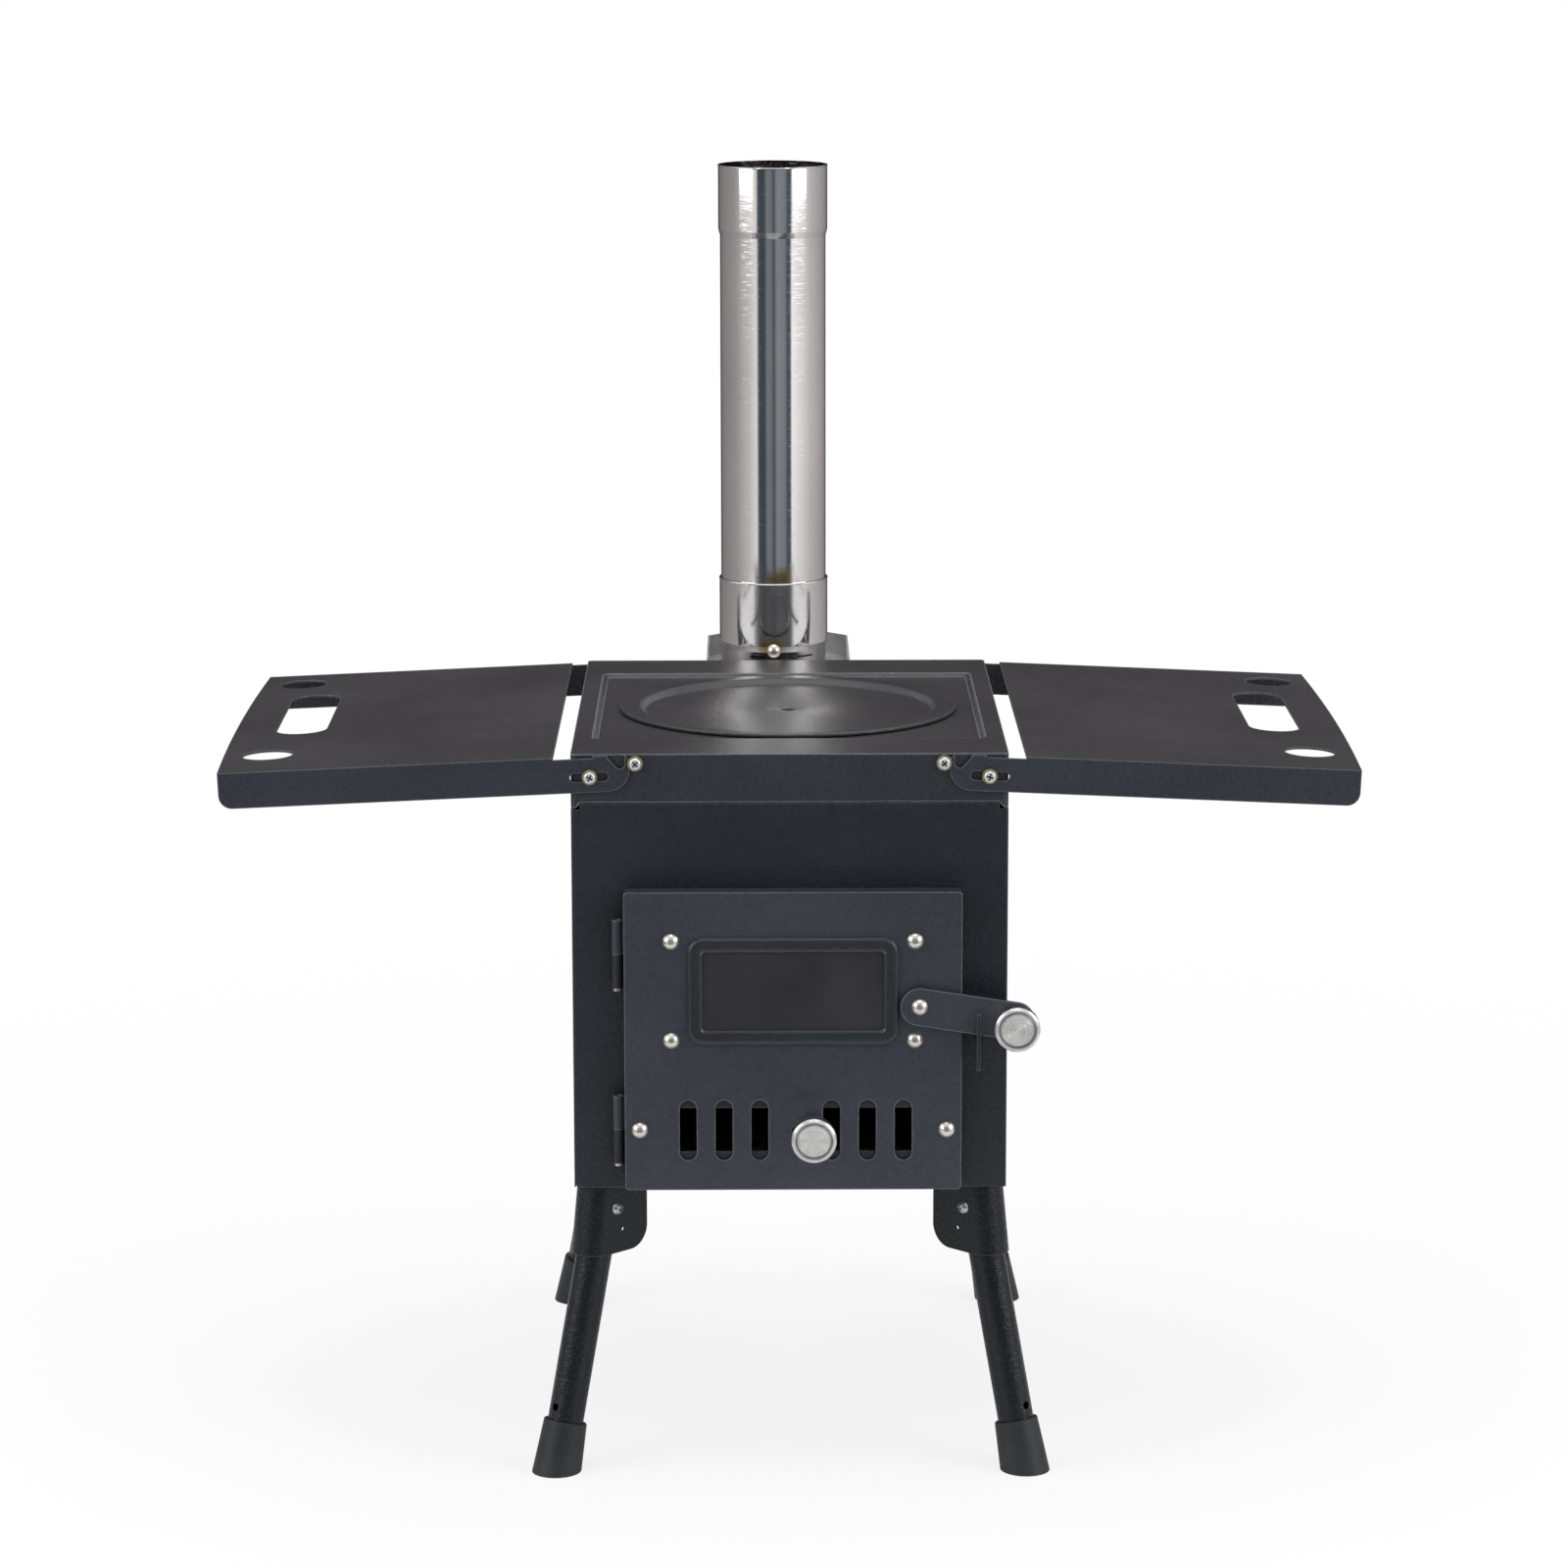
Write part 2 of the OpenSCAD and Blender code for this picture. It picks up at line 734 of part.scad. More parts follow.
// Guide behind the slider: a plate with rails that keep the slider against the door
module air_slider_guide() {
    back = door_inner + slider_t + 2 * slip + guide_t;
    color(door_paint) place() difference() {
        translate([door_x, 0, vent_z]) union() {
            upright(back, guide_t) rounded(guide_w, guide_h, door_r);
            for (z = [-1, 1])
                translate([0, 0, z * (slider_h / 2 + slip + (guide_h - slider_h) / 4 - slip / 2)])
                    upright(back, back - door_inner)
                    square([guide_w, (guide_h - slider_h) / 2 - slip], center = true);
            for (x = [-1, 1])
                bar_y(x * guide_rivet_x, back, 0, back - door_inner, rivet_shank);
        }
        translate([vent_x, 0, vent_z]) upright(back + over, guide_t + 2 * over)
            rounded(2 * slots_a_side * slot_pitch + slot_w + slider_travel, guide_window_h, door_r);
        guide_rivet_places()
            bar_y(0, door_back, 0, door_depth, rivet_shank / 2 + pin_fit);
    }
}

module guide_rivets() {
    color(nickel) place() guide_rivet_places()
        door_rivet(slider_t + 2 * slip + guide_t);
}

// Slider plate with square openings, open at rest, and the stem of its knob
module air_slider() {
    left = slots_a_side * slot_pitch + slot_w / 2 + slider_side;
    right = left + slider_travel;
    front = door_inner + slip;
    color(paint) place() difference() {
        union() {
            translate([vent_x + (right - left) / 2, 0, vent_z]) upright(front + slider_t, slider_t)
                square([left + right, slider_h], center = true);
            bar_y(vent_x + slider_travel, front + slider_t / 2, vent_z,
                front + slider_t / 2 - door_face + air_knob_stand + knob_l / 2, stem_r);
        }
        upright(front + slider_t + over, slider_t + 2 * over) vent_places()
            square([slot_w, slider_open_h], center = true);
    }
}

// Turned knob: neck, flared rim, groove and spun face
module knob(x, y, z) {
    r = knob_d / 2;
    difference() {
        translate([x, y, z]) rotate([90, 0, 0]) rotate_extrude($fn = 64) polygon([
            [0, 0], [knob_neck_r, 0], [knob_neck_r, knob_l * knob_waist_share],
            [r - knob_chamfer, knob_l * knob_flare_share], [r, knob_l * knob_full_share],
            [r, knob_l - knob_chamfer], [r - knob_chamfer, knob_l],
            [r - knob_rim, knob_l], [r - knob_rim, knob_l - knob_groove],
            [r - knob_rim - knob_groove, knob_l - knob_groove],
            [r - knob_rim - knob_groove, knob_l - knob_groove / 3],
            [0, knob_l - knob_groove / 3]]);
        bar_y(x, y + over, z, knob_l / 2 + over, stem_r + pin_fit);
    }
}

module air_knob() {
    color(nickel) place() knob(vent_x + slider_travel, door_face - air_knob_stand, vent_z);
}

// Turns a piece about the latch rivet to where the lever rests in its keeper
module lever_frame() {
    translate([lever_x, 0, lever_z]) rotate([0, lever_drop, 0]) children();
}

// Latch lever: flat bar with round ends on its rivet, and the stem of its knob
module latch_lever() {
    color(paint) place() lever_frame() difference() {
        union() {
            upright(lever_back, lever_t) {
                circle(d = lever_w);
                translate([0, -lever_w / 2]) square([lever_len, lever_w]);
                translate([lever_len, 0]) circle(d = lever_w);
            }
            bar_y(lever_len, lever_back - lever_t / 2, 0,
                lever_t / 2 + slip + knob_stand + knob_l / 2, stem_r);
            bar_y(lever_len, lever_back - lever_t, 0, slip + knob_stand, 2 * stem_r);
        }
        bar_y(0, lever_back + over, 0, lever_t + 2 * over, rivet_shank / 2 + pin_fit);
    }
}

module latch_knob() {
    color(nickel) place() lever_frame()
        knob(lever_len, lever_back - lever_t - slip - knob_stand, 0);
}

// Rivet that the lever turns on, with the washer between lever and door
module latch_pivot_rivet() {
    head_y = lever_back - lever_t - slip;
    tail_y = door_inner + sheet + rivet_tail;
    color(nickel) place() translate([lever_x, 0, lever_z]) {
        bar_y(0, tail_y, 0, rivet_tail, rivet_shank);
        bar_y(0, tail_y, 0, tail_y - head_y, rivet_shank / 2);
        bar_y(0, door_face, 0, lever_spacer - slip, lever_spacer_r);
        dome(0, head_y, 0, rivet_d, rivet_dome);
    }
}

// Keeper: pointed gusset on the firebox with an upright finger in front of the lever
module latch_keeper() {
    reach = keeper_x - lever_x;
    floor_z = lever_z - reach * tan(lever_drop) - lever_w / 2 / cos(lever_drop)
        - keeper_t / 2 * tan(lever_drop) - slip;
    front = lever_back - lever_t - keeper_play;
    color(paint) place() translate([keeper_x - keeper_t / 2, 0, 0])
        rotate([90, 0, 90]) linear_extrude(keeper_t) polygon([
            [0, floor_z - keeper_root],
            [front - keeper_finger, floor_z - keeper_point],
            [front - keeper_finger, floor_z + keeper_rise - keeper_t / 2],
            [front - keeper_finger + keeper_t / 2, floor_z + keeper_rise],
            [front, floor_z + keeper_rise],
            [front, floor_z],
            [lever_back + slip, floor_z],
            [lever_back + slip + keeper_t, floor_z + keeper_heel],
            [0, floor_z + keeper_heel]]);
}

module hinge_places() {
    for (z = hinge_z) translate([hinge_x, hinge_y, z]) children();
}

// Lower barrels, welded to the firebox on short webs
module hinge_body_barrels() {
    color(paint) place() hinge_places() difference() {
        union() {
            cylinder(h = barrel_h, r = barrel_r);
            translate([-web_t / 2, 0, 0]) cube([web_t, -hinge_y, barrel_h]);
        }
        translate([0, 0, -over]) cylinder(h = barrel_h + 2 * over, r = hinge_pin_r + pin_fit);
    }
}

// Upper barrels, welded to the side of the door pan
module hinge_door_barrels() {
    color(door_paint) place() hinge_places() translate([0, 0, barrel_h + slip]) difference() {
        union() {
            cylinder(h = barrel_h, r = barrel_r);
            translate([0, -web_t / 2, 0])
                cube([door_x - door_w / 2 - hinge_x, web_t, barrel_h]);
        }
        translate([0, 0, -over]) cylinder(h = barrel_h + 2 * over, r = hinge_pin_r + pin_fit);
    }
}

// Pins fixed in the lower barrels; the door lifts off them
module hinge_pins() {
    color(nickel) place() hinge_places() {
        cylinder(h = 2 * barrel_h + slip - hinge_pin_r, r = hinge_pin_r);
        translate([0, 0, -hinge_pin_r]) cylinder(h = hinge_pin_r, r = barrel_r - sheet / 2);
    }
}

// Frame of the right shelf: its origin is the outer end of the flange slot
module shelf_frame() {
    translate([pivot_x + draw_out * cos(droop), 0, pivot_z - draw_out * sin(droop)])
        rotate([0, droop, 0]) children();
}

// Hooked place of the latch screw, worked out from the shelf at its droop
latch_x = pivot_x - latch_in * cos(droop) + latch_up * sin(droop);
latch_z = pivot_z + latch_in * sin(droop) + latch_up * cos(droop);

module shelf_screw_places() {
    left_and_right() {
        translate([pivot_x, 0, pivot_z]) children();
        translate([latch_x, 0, latch_z]) children();
    }
}

// Outline of the folded edge with its tab, slot and notch, in the XZ plane
module shelf_edge() {
    low = sheet_rise - shelf_edge_h;
    tip = sheet_rise - tab_drop;
    difference() {
        union() {
            translate([sheet_start, low + edge_corner])
                square([shelf_reach - sheet_start, shelf_edge_h - edge_corner]);
            translate([sheet_start, low])
                square([shelf_reach - sheet_start - edge_corner, edge_corner + over]);
            translate([shelf_reach - edge_corner, low + edge_corner]) circle(r = edge_corner);
            translate([-tab_len + tab_corner, low])
                square([tab_len - tab_corner + sheet_start + over, tip - low]);
            translate([-tab_len, low + tab_corner])
                square([tab_len, tip - low - tab_corner - tab_tip_r]);
            translate([-tab_len + tab_tip_r, low + tab_corner])
                square([tab_len, tip - low - tab_corner]);
            intersection() {
                translate([-tab_len + tab_corner, low + tab_corner]) circle(r = tab_corner);
                translate([-tab_len, low]) square(2 * tab_corner - tab_tip_r * 2);
            }
            translate([-tab_len + tab_tip_r, tip - tab_tip_r]) circle(r = tab_tip_r);
        }
        translate([-slot_run, -slot_half]) square([slot_run, 2 * slot_half]);
        circle(r = slot_half);
        translate([-slot_run, 0]) circle(r = slot_half);
        translate([-latch_in, latch_up]) circle(r = notch_r);
        polygon([
            [-latch_in - notch_r, latch_up],
            [-latch_in - notch_r, sheet_rise + over],
            [-latch_in + ramp_out, sheet_rise + over],
            [-latch_in + ramp_out, tip],
            [-latch_in + ramp_mid + notch_r / 2, latch_up + notch_r / 4],
            [-latch_in + notch_r * cos(30), latch_up - notch_r * sin(30)]]);
    }
}

// Outline of the shelf sheet in plan, its outer end bowed
module shelf_plan() {
    front = -tab_gap - sheet;
    depth = body_d - 2 * front;
    grip_len = depth - grip_front - grip_back;
    difference() {
        polygon(concat(
            [[sheet_start, front + depth], [sheet_start, front]],
            [for (n = [0 : bow_steps]) let(u = n / bow_steps)
                [shelf_reach + 4 * bow * u * (1 - u), front + depth * u]]));
        translate([shelf_reach - shelf_hole_in, front + hole_front]) circle(d = shelf_hole_d);
        translate([shelf_reach - shelf_hole_in, front + depth - hole_back])
            circle(d = shelf_hole_d);
        translate([shelf_reach - grip_in, front + grip_front + grip_len / 2])
            obround(grip_w, grip_len);
    }
}

// Right shelf: sheet and its two folded edges with tabs
module shelf() {
    shelf_frame() {
        translate([0, 0, sheet_rise - sheet]) linear_extrude(sheet) shelf_plan();
        front_and_back() upright(-tab_gap, sheet) shelf_edge();
    }
}

module right_shelf() {
    color(tops_paint) place() shelf();
}

module left_shelf() {
    color(tops_paint) place() mirror([1, 0, 0]) shelf();
}

// Sleeves round the pivot screws, which turn with a shelf while it slides on them
module pivot_bushes() {
    front_and_back() translate([pivot_x, 0, pivot_z]) difference() {
        bar_y(0, -pin_fit, 0, bush_len, bush_r);
        bar_y(0, over, 0, bush_len + 2 * over, pivot_screw_r + pin_fit);
    }
}

module right_pivot_bushes() {
    color(brass_zinc) place() pivot_bushes();
}

module left_pivot_bushes() {
    color(brass_zinc) place() mirror([1, 0, 0]) pivot_bushes();
}

// Outer face of the washers under the screw heads
washer_back = -tab_gap - sheet - slip;
nut_y = joggle + sheet + pin_fit;

module shelf_screw(r) {
    bar_y(0, nut_y + nut_t + washer_t, 0, nut_y + nut_t + 2 * washer_t - washer_back, r);
    dome(0, washer_back - washer_t, 0, 2 * screw_head_r, screw_head_h);
}

module shelf_pivot_screws() {
    color(zinc) place() left_and_right() front_and_back()
        translate([pivot_x, 0, pivot_z]) shelf_screw(pivot_screw_r);
}

module shelf_latch_screws() {
    color(zinc) place() left_and_right() front_and_back()
        translate([latch_x, 0, latch_z]) shelf_screw(screw_r);
}

// Washers under the heads of all eight screws
module shelf_washers() {
    color(brass_zinc) place() left_and_right() front_and_back()
        for (s = [[pivot_x, pivot_z, pivot_screw_r], [latch_x, latch_z, screw_r]])
            translate([s[0], 0, s[1]]) difference() {
                bar_y(0, washer_back, 0, washer_t, washer_r);
                bar_y(0, washer_back + over, 0, washer_t + 2 * over, s[2] + pin_fit);
            }
}

module shelf_nuts() {
    color(zinc) place() left_and_right() front_and_back()
        for (s = [[pivot_x, pivot_z, pivot_screw_r], [latch_x, latch_z, screw_r]])
            translate([s[0], 0, s[1]]) difference() {
                translate([0, nut_y + nut_t, 0]) rotate([90, 0, 0])
                    cylinder(h = nut_t, r = nut_flats / 2 / cos(30), $fn = 6);
                bar_y(0, nut_y + nut_t + over, 0, nut_t + 2 * over, s[2] + pin_fit);
            }
}

// Turns and moves a leg piece to its corner; in its frame X points outward along the diagonal
// and the origin is the leg bolt
module corner(x, y) {
    translate([x * (half_w - bolt_in), y > 0 ? body_d - bolt_in : bolt_in, bolt_z])
        rotate([0, 0, atan2(y, x)]) children();
}

// Prism along the leg, round on its outer side, from which a bracket is shaped
module sleeve(r, back) {
    translate([bracket_s, 0, bracket_low]) rotate([0, -sleeve_tilt, 0])
        translate([0, 0, -cheek_drop / 2]) linear_extrude(2 * cheek_drop) {
            circle(r = r);
            translate([-back, -r]) square([back, 2 * r]);
        }
}

// Folded bracket: top plate, two cheeks, and the half round web that backs the leg
module leg_bracket(x, y) {
    out = cheek_gap + cheek_t;
    reach = 2 * cheek_drop;
    color(paint) place() corner(x, y) difference() {
        intersection() {
            sleeve(out, reach);
            upright(out + over, 2 * (out + over)) {
                polygon([[-cheek_in, bolt_down], [-cheek_in, bracket_low + cheek_corner],
                    [-cheek_in + cheek_corner, bracket_low], [reach, bracket_low],
                    [reach, bolt_down]]);
                translate([-cheek_in + cheek_corner, bracket_low + cheek_corner])
                    circle(r = cheek_corner);
            }
        }
        difference() {
            sleeve(cheek_gap, reach + over);
            translate([-reach - 2 * over, -out, bolt_down - cheek_t])
                cube([reach + 2 * over, 2 * out, cheek_t + over]);
        }
        bar_y(0, cheek_drop, 0, reach, bolt_r + pin_fit);
        bar_y(-cheek_in * spare_share, cheek_drop, bracket_low / 2, reach, spare_hole_r);
    }
}

// Frame of the leg tube: its Z runs up along the tube, and its origin is on the bolt
module tube_frame() {
    rotate([0, -leg_lean, 0]) children();
}

// Leg tube, drilled for the bolt near its top and for a cord above its foot
module leg(x, y) {
    len = (bolt_z - foot_base) / cos(leg_lean);
    color(paint) place() corner(x, y) difference() {
        tube_frame() translate([0, 0, -len]) difference() {
            cylinder(h = len + leg_rise, d = leg_d);
            translate([0, 0, -over])
                cylinder(h = len + leg_rise + 2 * over, d = leg_d - 2 * leg_wall);
        }
        bar_y(0, leg_d, 0, 2 * leg_d, bolt_r + pin_fit);
        tube_frame() translate([0, 0, (leg_hole_z - bolt_z) / cos(leg_lean)])
            rotate([0, 90, 0]) cylinder(h = leg_d, d = leg_hole_d);
    }
}

// Rubber foot: a flared cap along the leaning tube, cut level at the floor
module foot(x, y) {
    down = bolt_z / cos(leg_lean);
    tip = foot_r * tan(leg_lean) + over;
    flare = (foot_r - foot_top_r) / foot_h;
    color(rubber) place() corner(x, y) difference() {
        tube_frame() translate([0, 0, -down - tip])
            rotate_extrude() polygon([
                [0, 0],
                [foot_r + flare * tip, 0],
                [foot_top_r + foot_bead, foot_h + tip - foot_bead],
                [foot_top_r, foot_h + tip],
                [0, foot_h + tip]]);
        translate([-bolt_z, -bolt_z / 2, -2 * bolt_z]) cube([3 * bolt_z, bolt_z, bolt_z]);
        tube_frame() translate([0, 0, -(bolt_z - foot_base) / cos(leg_lean) - pin_fit])
            cylinder(h = foot_h * 2, r = leg_d / 2 + pin_fit);
    }
}

// Every bolt has its head on the side that faces the door or the flue
module every_bolt() {
    for (x = [-1, 1], y = [-1, 1])
        corner(x, y) mirror([0, x == y ? 1 : 0, 0]) children();
}

module leg_bolts() {
    out = cheek_gap + cheek_t;
    color(zinc) place() every_bolt() {
        bar_y(0, out + nut_t + washer_t, 0, 2 * out + nut_t + washer_t, bolt_r);
        difference() {
            dome(0, -out, 0, 2 * bolt_head_r, bolt_head_h);
            translate([0, -out - bolt_head_h / 2, 0]) rotate([90, 0, 0])
                cylinder(h = bolt_head_h, r = bolt_key_r, $fn = 6);
        }
    }
}

module leg_nuts() {
    out = cheek_gap + cheek_t;
    color(zinc) place() every_bolt() difference() {
        translate([0, out + nut_t, 0]) rotate([90, 0, 0])
            cylinder(h = nut_t, r = bolt_nut_flats / 2 / cos(30), $fn = 6);
        bar_y(0, out + nut_t + over, 0, nut_t + 2 * over, bolt_r + pin_fit);
    }
}

firebox_wrap();
firebox_rear();
firebox_floor();
fire_grate();
top_cap();
cooking_lid();
flue_box();
flue_box_roof();
flue_box_screws();
flue_stub();
flue_stub_rivet();
chimney_pipe();
door_panel();
window_glass();
window_retainer();
window_rivets();
air_slider_guide();
guide_rivets();
air_slider();
air_knob();
latch_lever();
latch_knob();
latch_pivot_rivet();
latch_keeper();
hinge_body_barrels();
hinge_door_barrels();
hinge_pins();
left_shelf();
right_shelf();
left_pivot_bushes();
right_pivot_bushes();
shelf_pivot_screws();
shelf_latch_screws();
shelf_washers();
shelf_nuts();
leg_bracket(-1, -1);  // bracket_front_left
leg_bracket(1, -1);  // bracket_front_right
leg_bracket(-1, 1);  // bracket_back_left
leg_bracket(1, 1);  // bracket_back_right
leg(-1, -1);  // leg_front_left
leg(1, -1);  // leg_front_right
leg(-1, 1);  // leg_back_left
leg(1, 1);  // leg_back_right
foot(-1, -1);  // foot_front_left
foot(1, -1);  // foot_front_right
foot(-1, 1);  // foot_back_left
foot(1, 1);  // foot_back_right
leg_bolts();
leg_nuts();
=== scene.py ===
"""Looks of the folding tent stove: its camera and studio, then each piece in the order of
assembly, from the firebox to the rubber feet."""

import math

import bpy
from mathutils import Matrix, Vector


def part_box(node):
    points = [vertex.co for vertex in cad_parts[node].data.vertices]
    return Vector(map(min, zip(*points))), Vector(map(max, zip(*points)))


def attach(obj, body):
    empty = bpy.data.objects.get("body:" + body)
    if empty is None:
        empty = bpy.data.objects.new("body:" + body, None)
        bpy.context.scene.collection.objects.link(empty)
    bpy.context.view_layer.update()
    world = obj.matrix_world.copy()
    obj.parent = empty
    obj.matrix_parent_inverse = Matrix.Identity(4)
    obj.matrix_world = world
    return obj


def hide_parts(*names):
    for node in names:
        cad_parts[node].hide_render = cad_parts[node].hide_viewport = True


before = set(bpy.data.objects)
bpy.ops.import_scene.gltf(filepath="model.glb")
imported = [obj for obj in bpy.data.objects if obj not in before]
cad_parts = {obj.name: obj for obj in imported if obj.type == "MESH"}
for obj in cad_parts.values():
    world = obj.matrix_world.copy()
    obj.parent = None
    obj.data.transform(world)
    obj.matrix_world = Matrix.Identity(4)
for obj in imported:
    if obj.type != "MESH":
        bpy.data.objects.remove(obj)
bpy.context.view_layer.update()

# Studio: the stove stands on a pale floor in front of a white backdrop, between bright sides and
# a dark room behind the camera. The bands of its walls were placed and tinted after colours read
# off the reflections in the photographed chimney, then corrected against measured means.

camera = bpy.data.cameras.new("camera")
camera.lens = 114.37
camera.sensor_width = 36
camera.clip_end = 60
eye = (-0.0172, -2.7168, 0.8678)
look_down = math.radians(11.09)
eye_turn = -0.0056
eye_roll = -0.0018
viewer = bpy.data.objects.new("camera", camera)
bpy.context.scene.collection.objects.link(viewer)
viewer.matrix_world = (
    Matrix.Translation(eye)
    @ Matrix.Rotation(eye_turn, 4, "Z")
    @ Matrix.Rotation(math.pi / 2 - look_down, 4, "X")
    @ Matrix.Rotation(eye_roll, 4, "Z")
)
bpy.context.scene.camera = viewer
bpy.context.scene.view_settings.view_transform = "Standard"


class Layer:
    """One socket of a finish. Sums on layers add their Math nodes."""

    def __init__(self, tree, socket=None):
        self.tree = tree
        self.socket = socket

    def node(self, kind, settings, sockets, out=0):
        made = self.tree.nodes.new("ShaderNode" + kind)
        for name, value in settings.items():
            if name == "stops":
                ramp = made.color_ramp.elements
                for place, tint in value[2:]:
                    ramp.new(place)
                for stop, (place, tint) in zip(ramp, value):
                    stop.position = place
                    stop.color = (*tint, 1)
            else:
                setattr(made, name, value)
        for key, value in sockets.items():
            if isinstance(value, Layer):
                self.tree.links.new(value.socket, made.inputs[key])
            else:
                made.inputs[key].default_value = value
        return Layer(self.tree, made.outputs[out])

    def sum(self, operation, first, second):
        return self.node("Math", {"operation": operation}, {0: first, 1: second})

    def __add__(self, other):
        return self.sum("ADD", self, other)

    __radd__ = __add__

    def __sub__(self, other):
        return self.sum("SUBTRACT", self, other)

    def __rsub__(self, other):
        return self.sum("SUBTRACT", other, self)

    def __mul__(self, other):
        return self.sum("MULTIPLY", self, other)

    __rmul__ = __mul__

    def __truediv__(self, other):
        return self.sum("DIVIDE", self, other)

    def __pow__(self, other):
        return self.sum("POWER", self, other)

    def ramp(self, low, high):
        """0 where the layer is low, 1 where it is high, smooth between."""
        return self.node(
            "MapRange",
            {"interpolation_type": "SMOOTHSTEP"},
            {"Value": self, "From Min": low, "From Max": high},
        )

    def tint(self, low, high):
        """Colour that goes from low to high as the layer goes from 0 to 1."""
        pair = {}
        for key, value in ((6, low), (7, high)):
            pair[key] = value if isinstance(value, Layer) else (*value, 1)
        return self.node("Mix", {"data_type": "RGBA"}, {0: self, **pair}, out=2)


room = bpy.data.worlds.new("studio")
bpy.context.scene.world = room
room.use_nodes = True
room.node_tree.nodes.clear()
air = Layer(room.node_tree)
way = air.node("TexCoord", {}, {}, out="Generated")
side = air.node("SeparateXYZ", {}, {0: way}, out="X")
depth = air.node("SeparateXYZ", {}, {0: way}, out="Y")
height = air.node("SeparateXYZ", {}, {0: way}, out="Z")
turn = air.node("Math", {"operation": "ARCTAN2"}, {0: side, 1: 0 - depth}) * (180 / math.pi)
walls = air.node(
    "ValToRGB",
    {
        "stops": [
            (0.04, (0.06, 0.05, 0.06)),
            (0.1, (0.22, 0.21, 0.21)),
            (0.25, (0.33, 0.318, 0.315)),
            (0.35, (0.56, 0.548, 0.54)),
            (0.4, (0.82, 0.81, 0.8)),
            (0.41, (0.1, 0.12, 0.135)),
            (0.42, (0.05, 0.068, 0.082)),
            (0.45, (0.055, 0.072, 0.085)),
            (0.465, (0.2, 0.215, 0.225)),
            (0.49, (0.17, 0.185, 0.2)),
            (0.505, (0.065, 0.08, 0.09)),
            (0.525, (0.24, 0.27, 0.29)),
            (0.57, (0.2, 0.23, 0.25)),
            (0.59, (0.06, 0.078, 0.092)),
            (0.607, (0.09, 0.1, 0.115)),
            (0.615, (1.0, 1.0, 1.0)),
            (0.65, (0.86, 0.845, 0.835)),
            (0.75, (0.55, 0.53, 0.525)),
            (0.9, (0.3, 0.285, 0.285)),
            (0.96, (0.06, 0.05, 0.06)),
        ]
    },
    {"Fac": turn / 360 + 0.5},
)
pale_ceiling = (0.85, 0.84, 0.84)
lining = height.ramp(0.45, 0.8).tint(walls, pale_ceiling)
camera_ray = air.node("LightPath", {}, {}, out="Is Camera Ray")
seen = camera_ray.tint(lining, (1, 1, 1))
glow = air.node("Background", {}, {"Color": seen, "Strength": 1})
world_out = room.node_tree.nodes.new("ShaderNodeOutputWorld")
room.node_tree.links.new(glow.socket, world_out.inputs["Surface"])

floor_w = 30
bpy.ops.mesh.primitive_plane_add(size=floor_w)
floor = bpy.context.object
floor.name = "studio_floor"
floor_paint = bpy.data.materials.new("floor_paint")
floor_paint.use_nodes = True
floor_paint.node_tree.nodes.clear()
boards = Layer(floor_paint.node_tree)
matt = boards.node("BsdfDiffuse", {}, {"Color": (0.86, 0.86, 0.86, 1)})
white = boards.node("Emission", {}, {"Color": (1, 1, 1, 1), "Strength": 1})
place = boards.node("TexCoord", {}, {}, out="Object")
apart = boards.node("VectorMath", {"operation": "LENGTH"}, {0: place}, out="Value")
through = boards.node("LightPath", {}, {}, out="Is Camera Ray") * (
    apart.ramp(0.25, 1.3) * 0.2 + 0.8
)
lit = boards.node("MixShader", {}, {0: through, 1: matt, 2: white})
dark = boards.node("LightPath", {}, {}, out="Is Glossy Ray") * apart.ramp(0.5, 0.8)
skin = boards.node("MixShader", {}, {0: dark, 1: lit, 2: boards.node("BsdfTransparent", {}, {})})
floor_out = floor_paint.node_tree.nodes.new("ShaderNodeOutputMaterial")
floor_paint.node_tree.links.new(skin.socket, floor_out.inputs["Surface"])
floor.data.materials.append(floor_paint)

aim = Vector((0, 0, 0.35))
for name, place, size, power in (
    ("softbox_left", (-1.7, -0.9, 1.1), 1.3, 17),
    ("softbox_right", (1.7, -0.9, 1.1), 1.3, 17),
    ("softbox_top", (0, 0.2, 2.3), 1.6, 17),
):
    lamp = bpy.data.lights.new(name, "AREA")
    lamp.shape = "SQUARE"
    lamp.size = size
    lamp.energy = power
    lamp_stand = bpy.data.objects.new(name, lamp)
    bpy.context.scene.collection.objects.link(lamp_stand)
    lamp_stand.location = place
    lamp_stand.rotation_euler = (aim - Vector(place)).to_track_quat("-Z", "Y").to_euler()


# Firebox: front and sides of folded sheet, a rear panel and a floor pan, spot welded. All are
# sprayed with blue-black stove paint, which dries matt with a fine grain; its folds are painted
# paler, partly as wear and partly as a painted highlight.


def finish(name, fixed):
    """A new finish with the values that are the same all over."""
    material = bpy.data.materials.new(name)
    material.use_nodes = True
    for socket, value in fixed.items():
        material.node_tree.nodes["Principled BSDF"].inputs[socket].default_value = value
    return material


def vary(material, layers):
    """Joins the layers that change over the surface to the finish."""
    shader = material.node_tree.nodes["Principled BSDF"]
    for socket, layer in layers.items():
        material.node_tree.links.new(layer.socket, shader.inputs[socket])


def grain(start, scale, detail=3.0, rough=0.6, warp=0.0):
    """Noise that is fixed to the piece; the scale is in grains a metre."""
    spot = start.node("TexCoord", {}, {}, out="Object")
    return start.node(
        "TexNoise",
        {},
        {
            "Vector": spot,
            "Scale": scale,
            "Detail": detail,
            "Roughness": rough,
            "Distortion": warp,
        },
    )


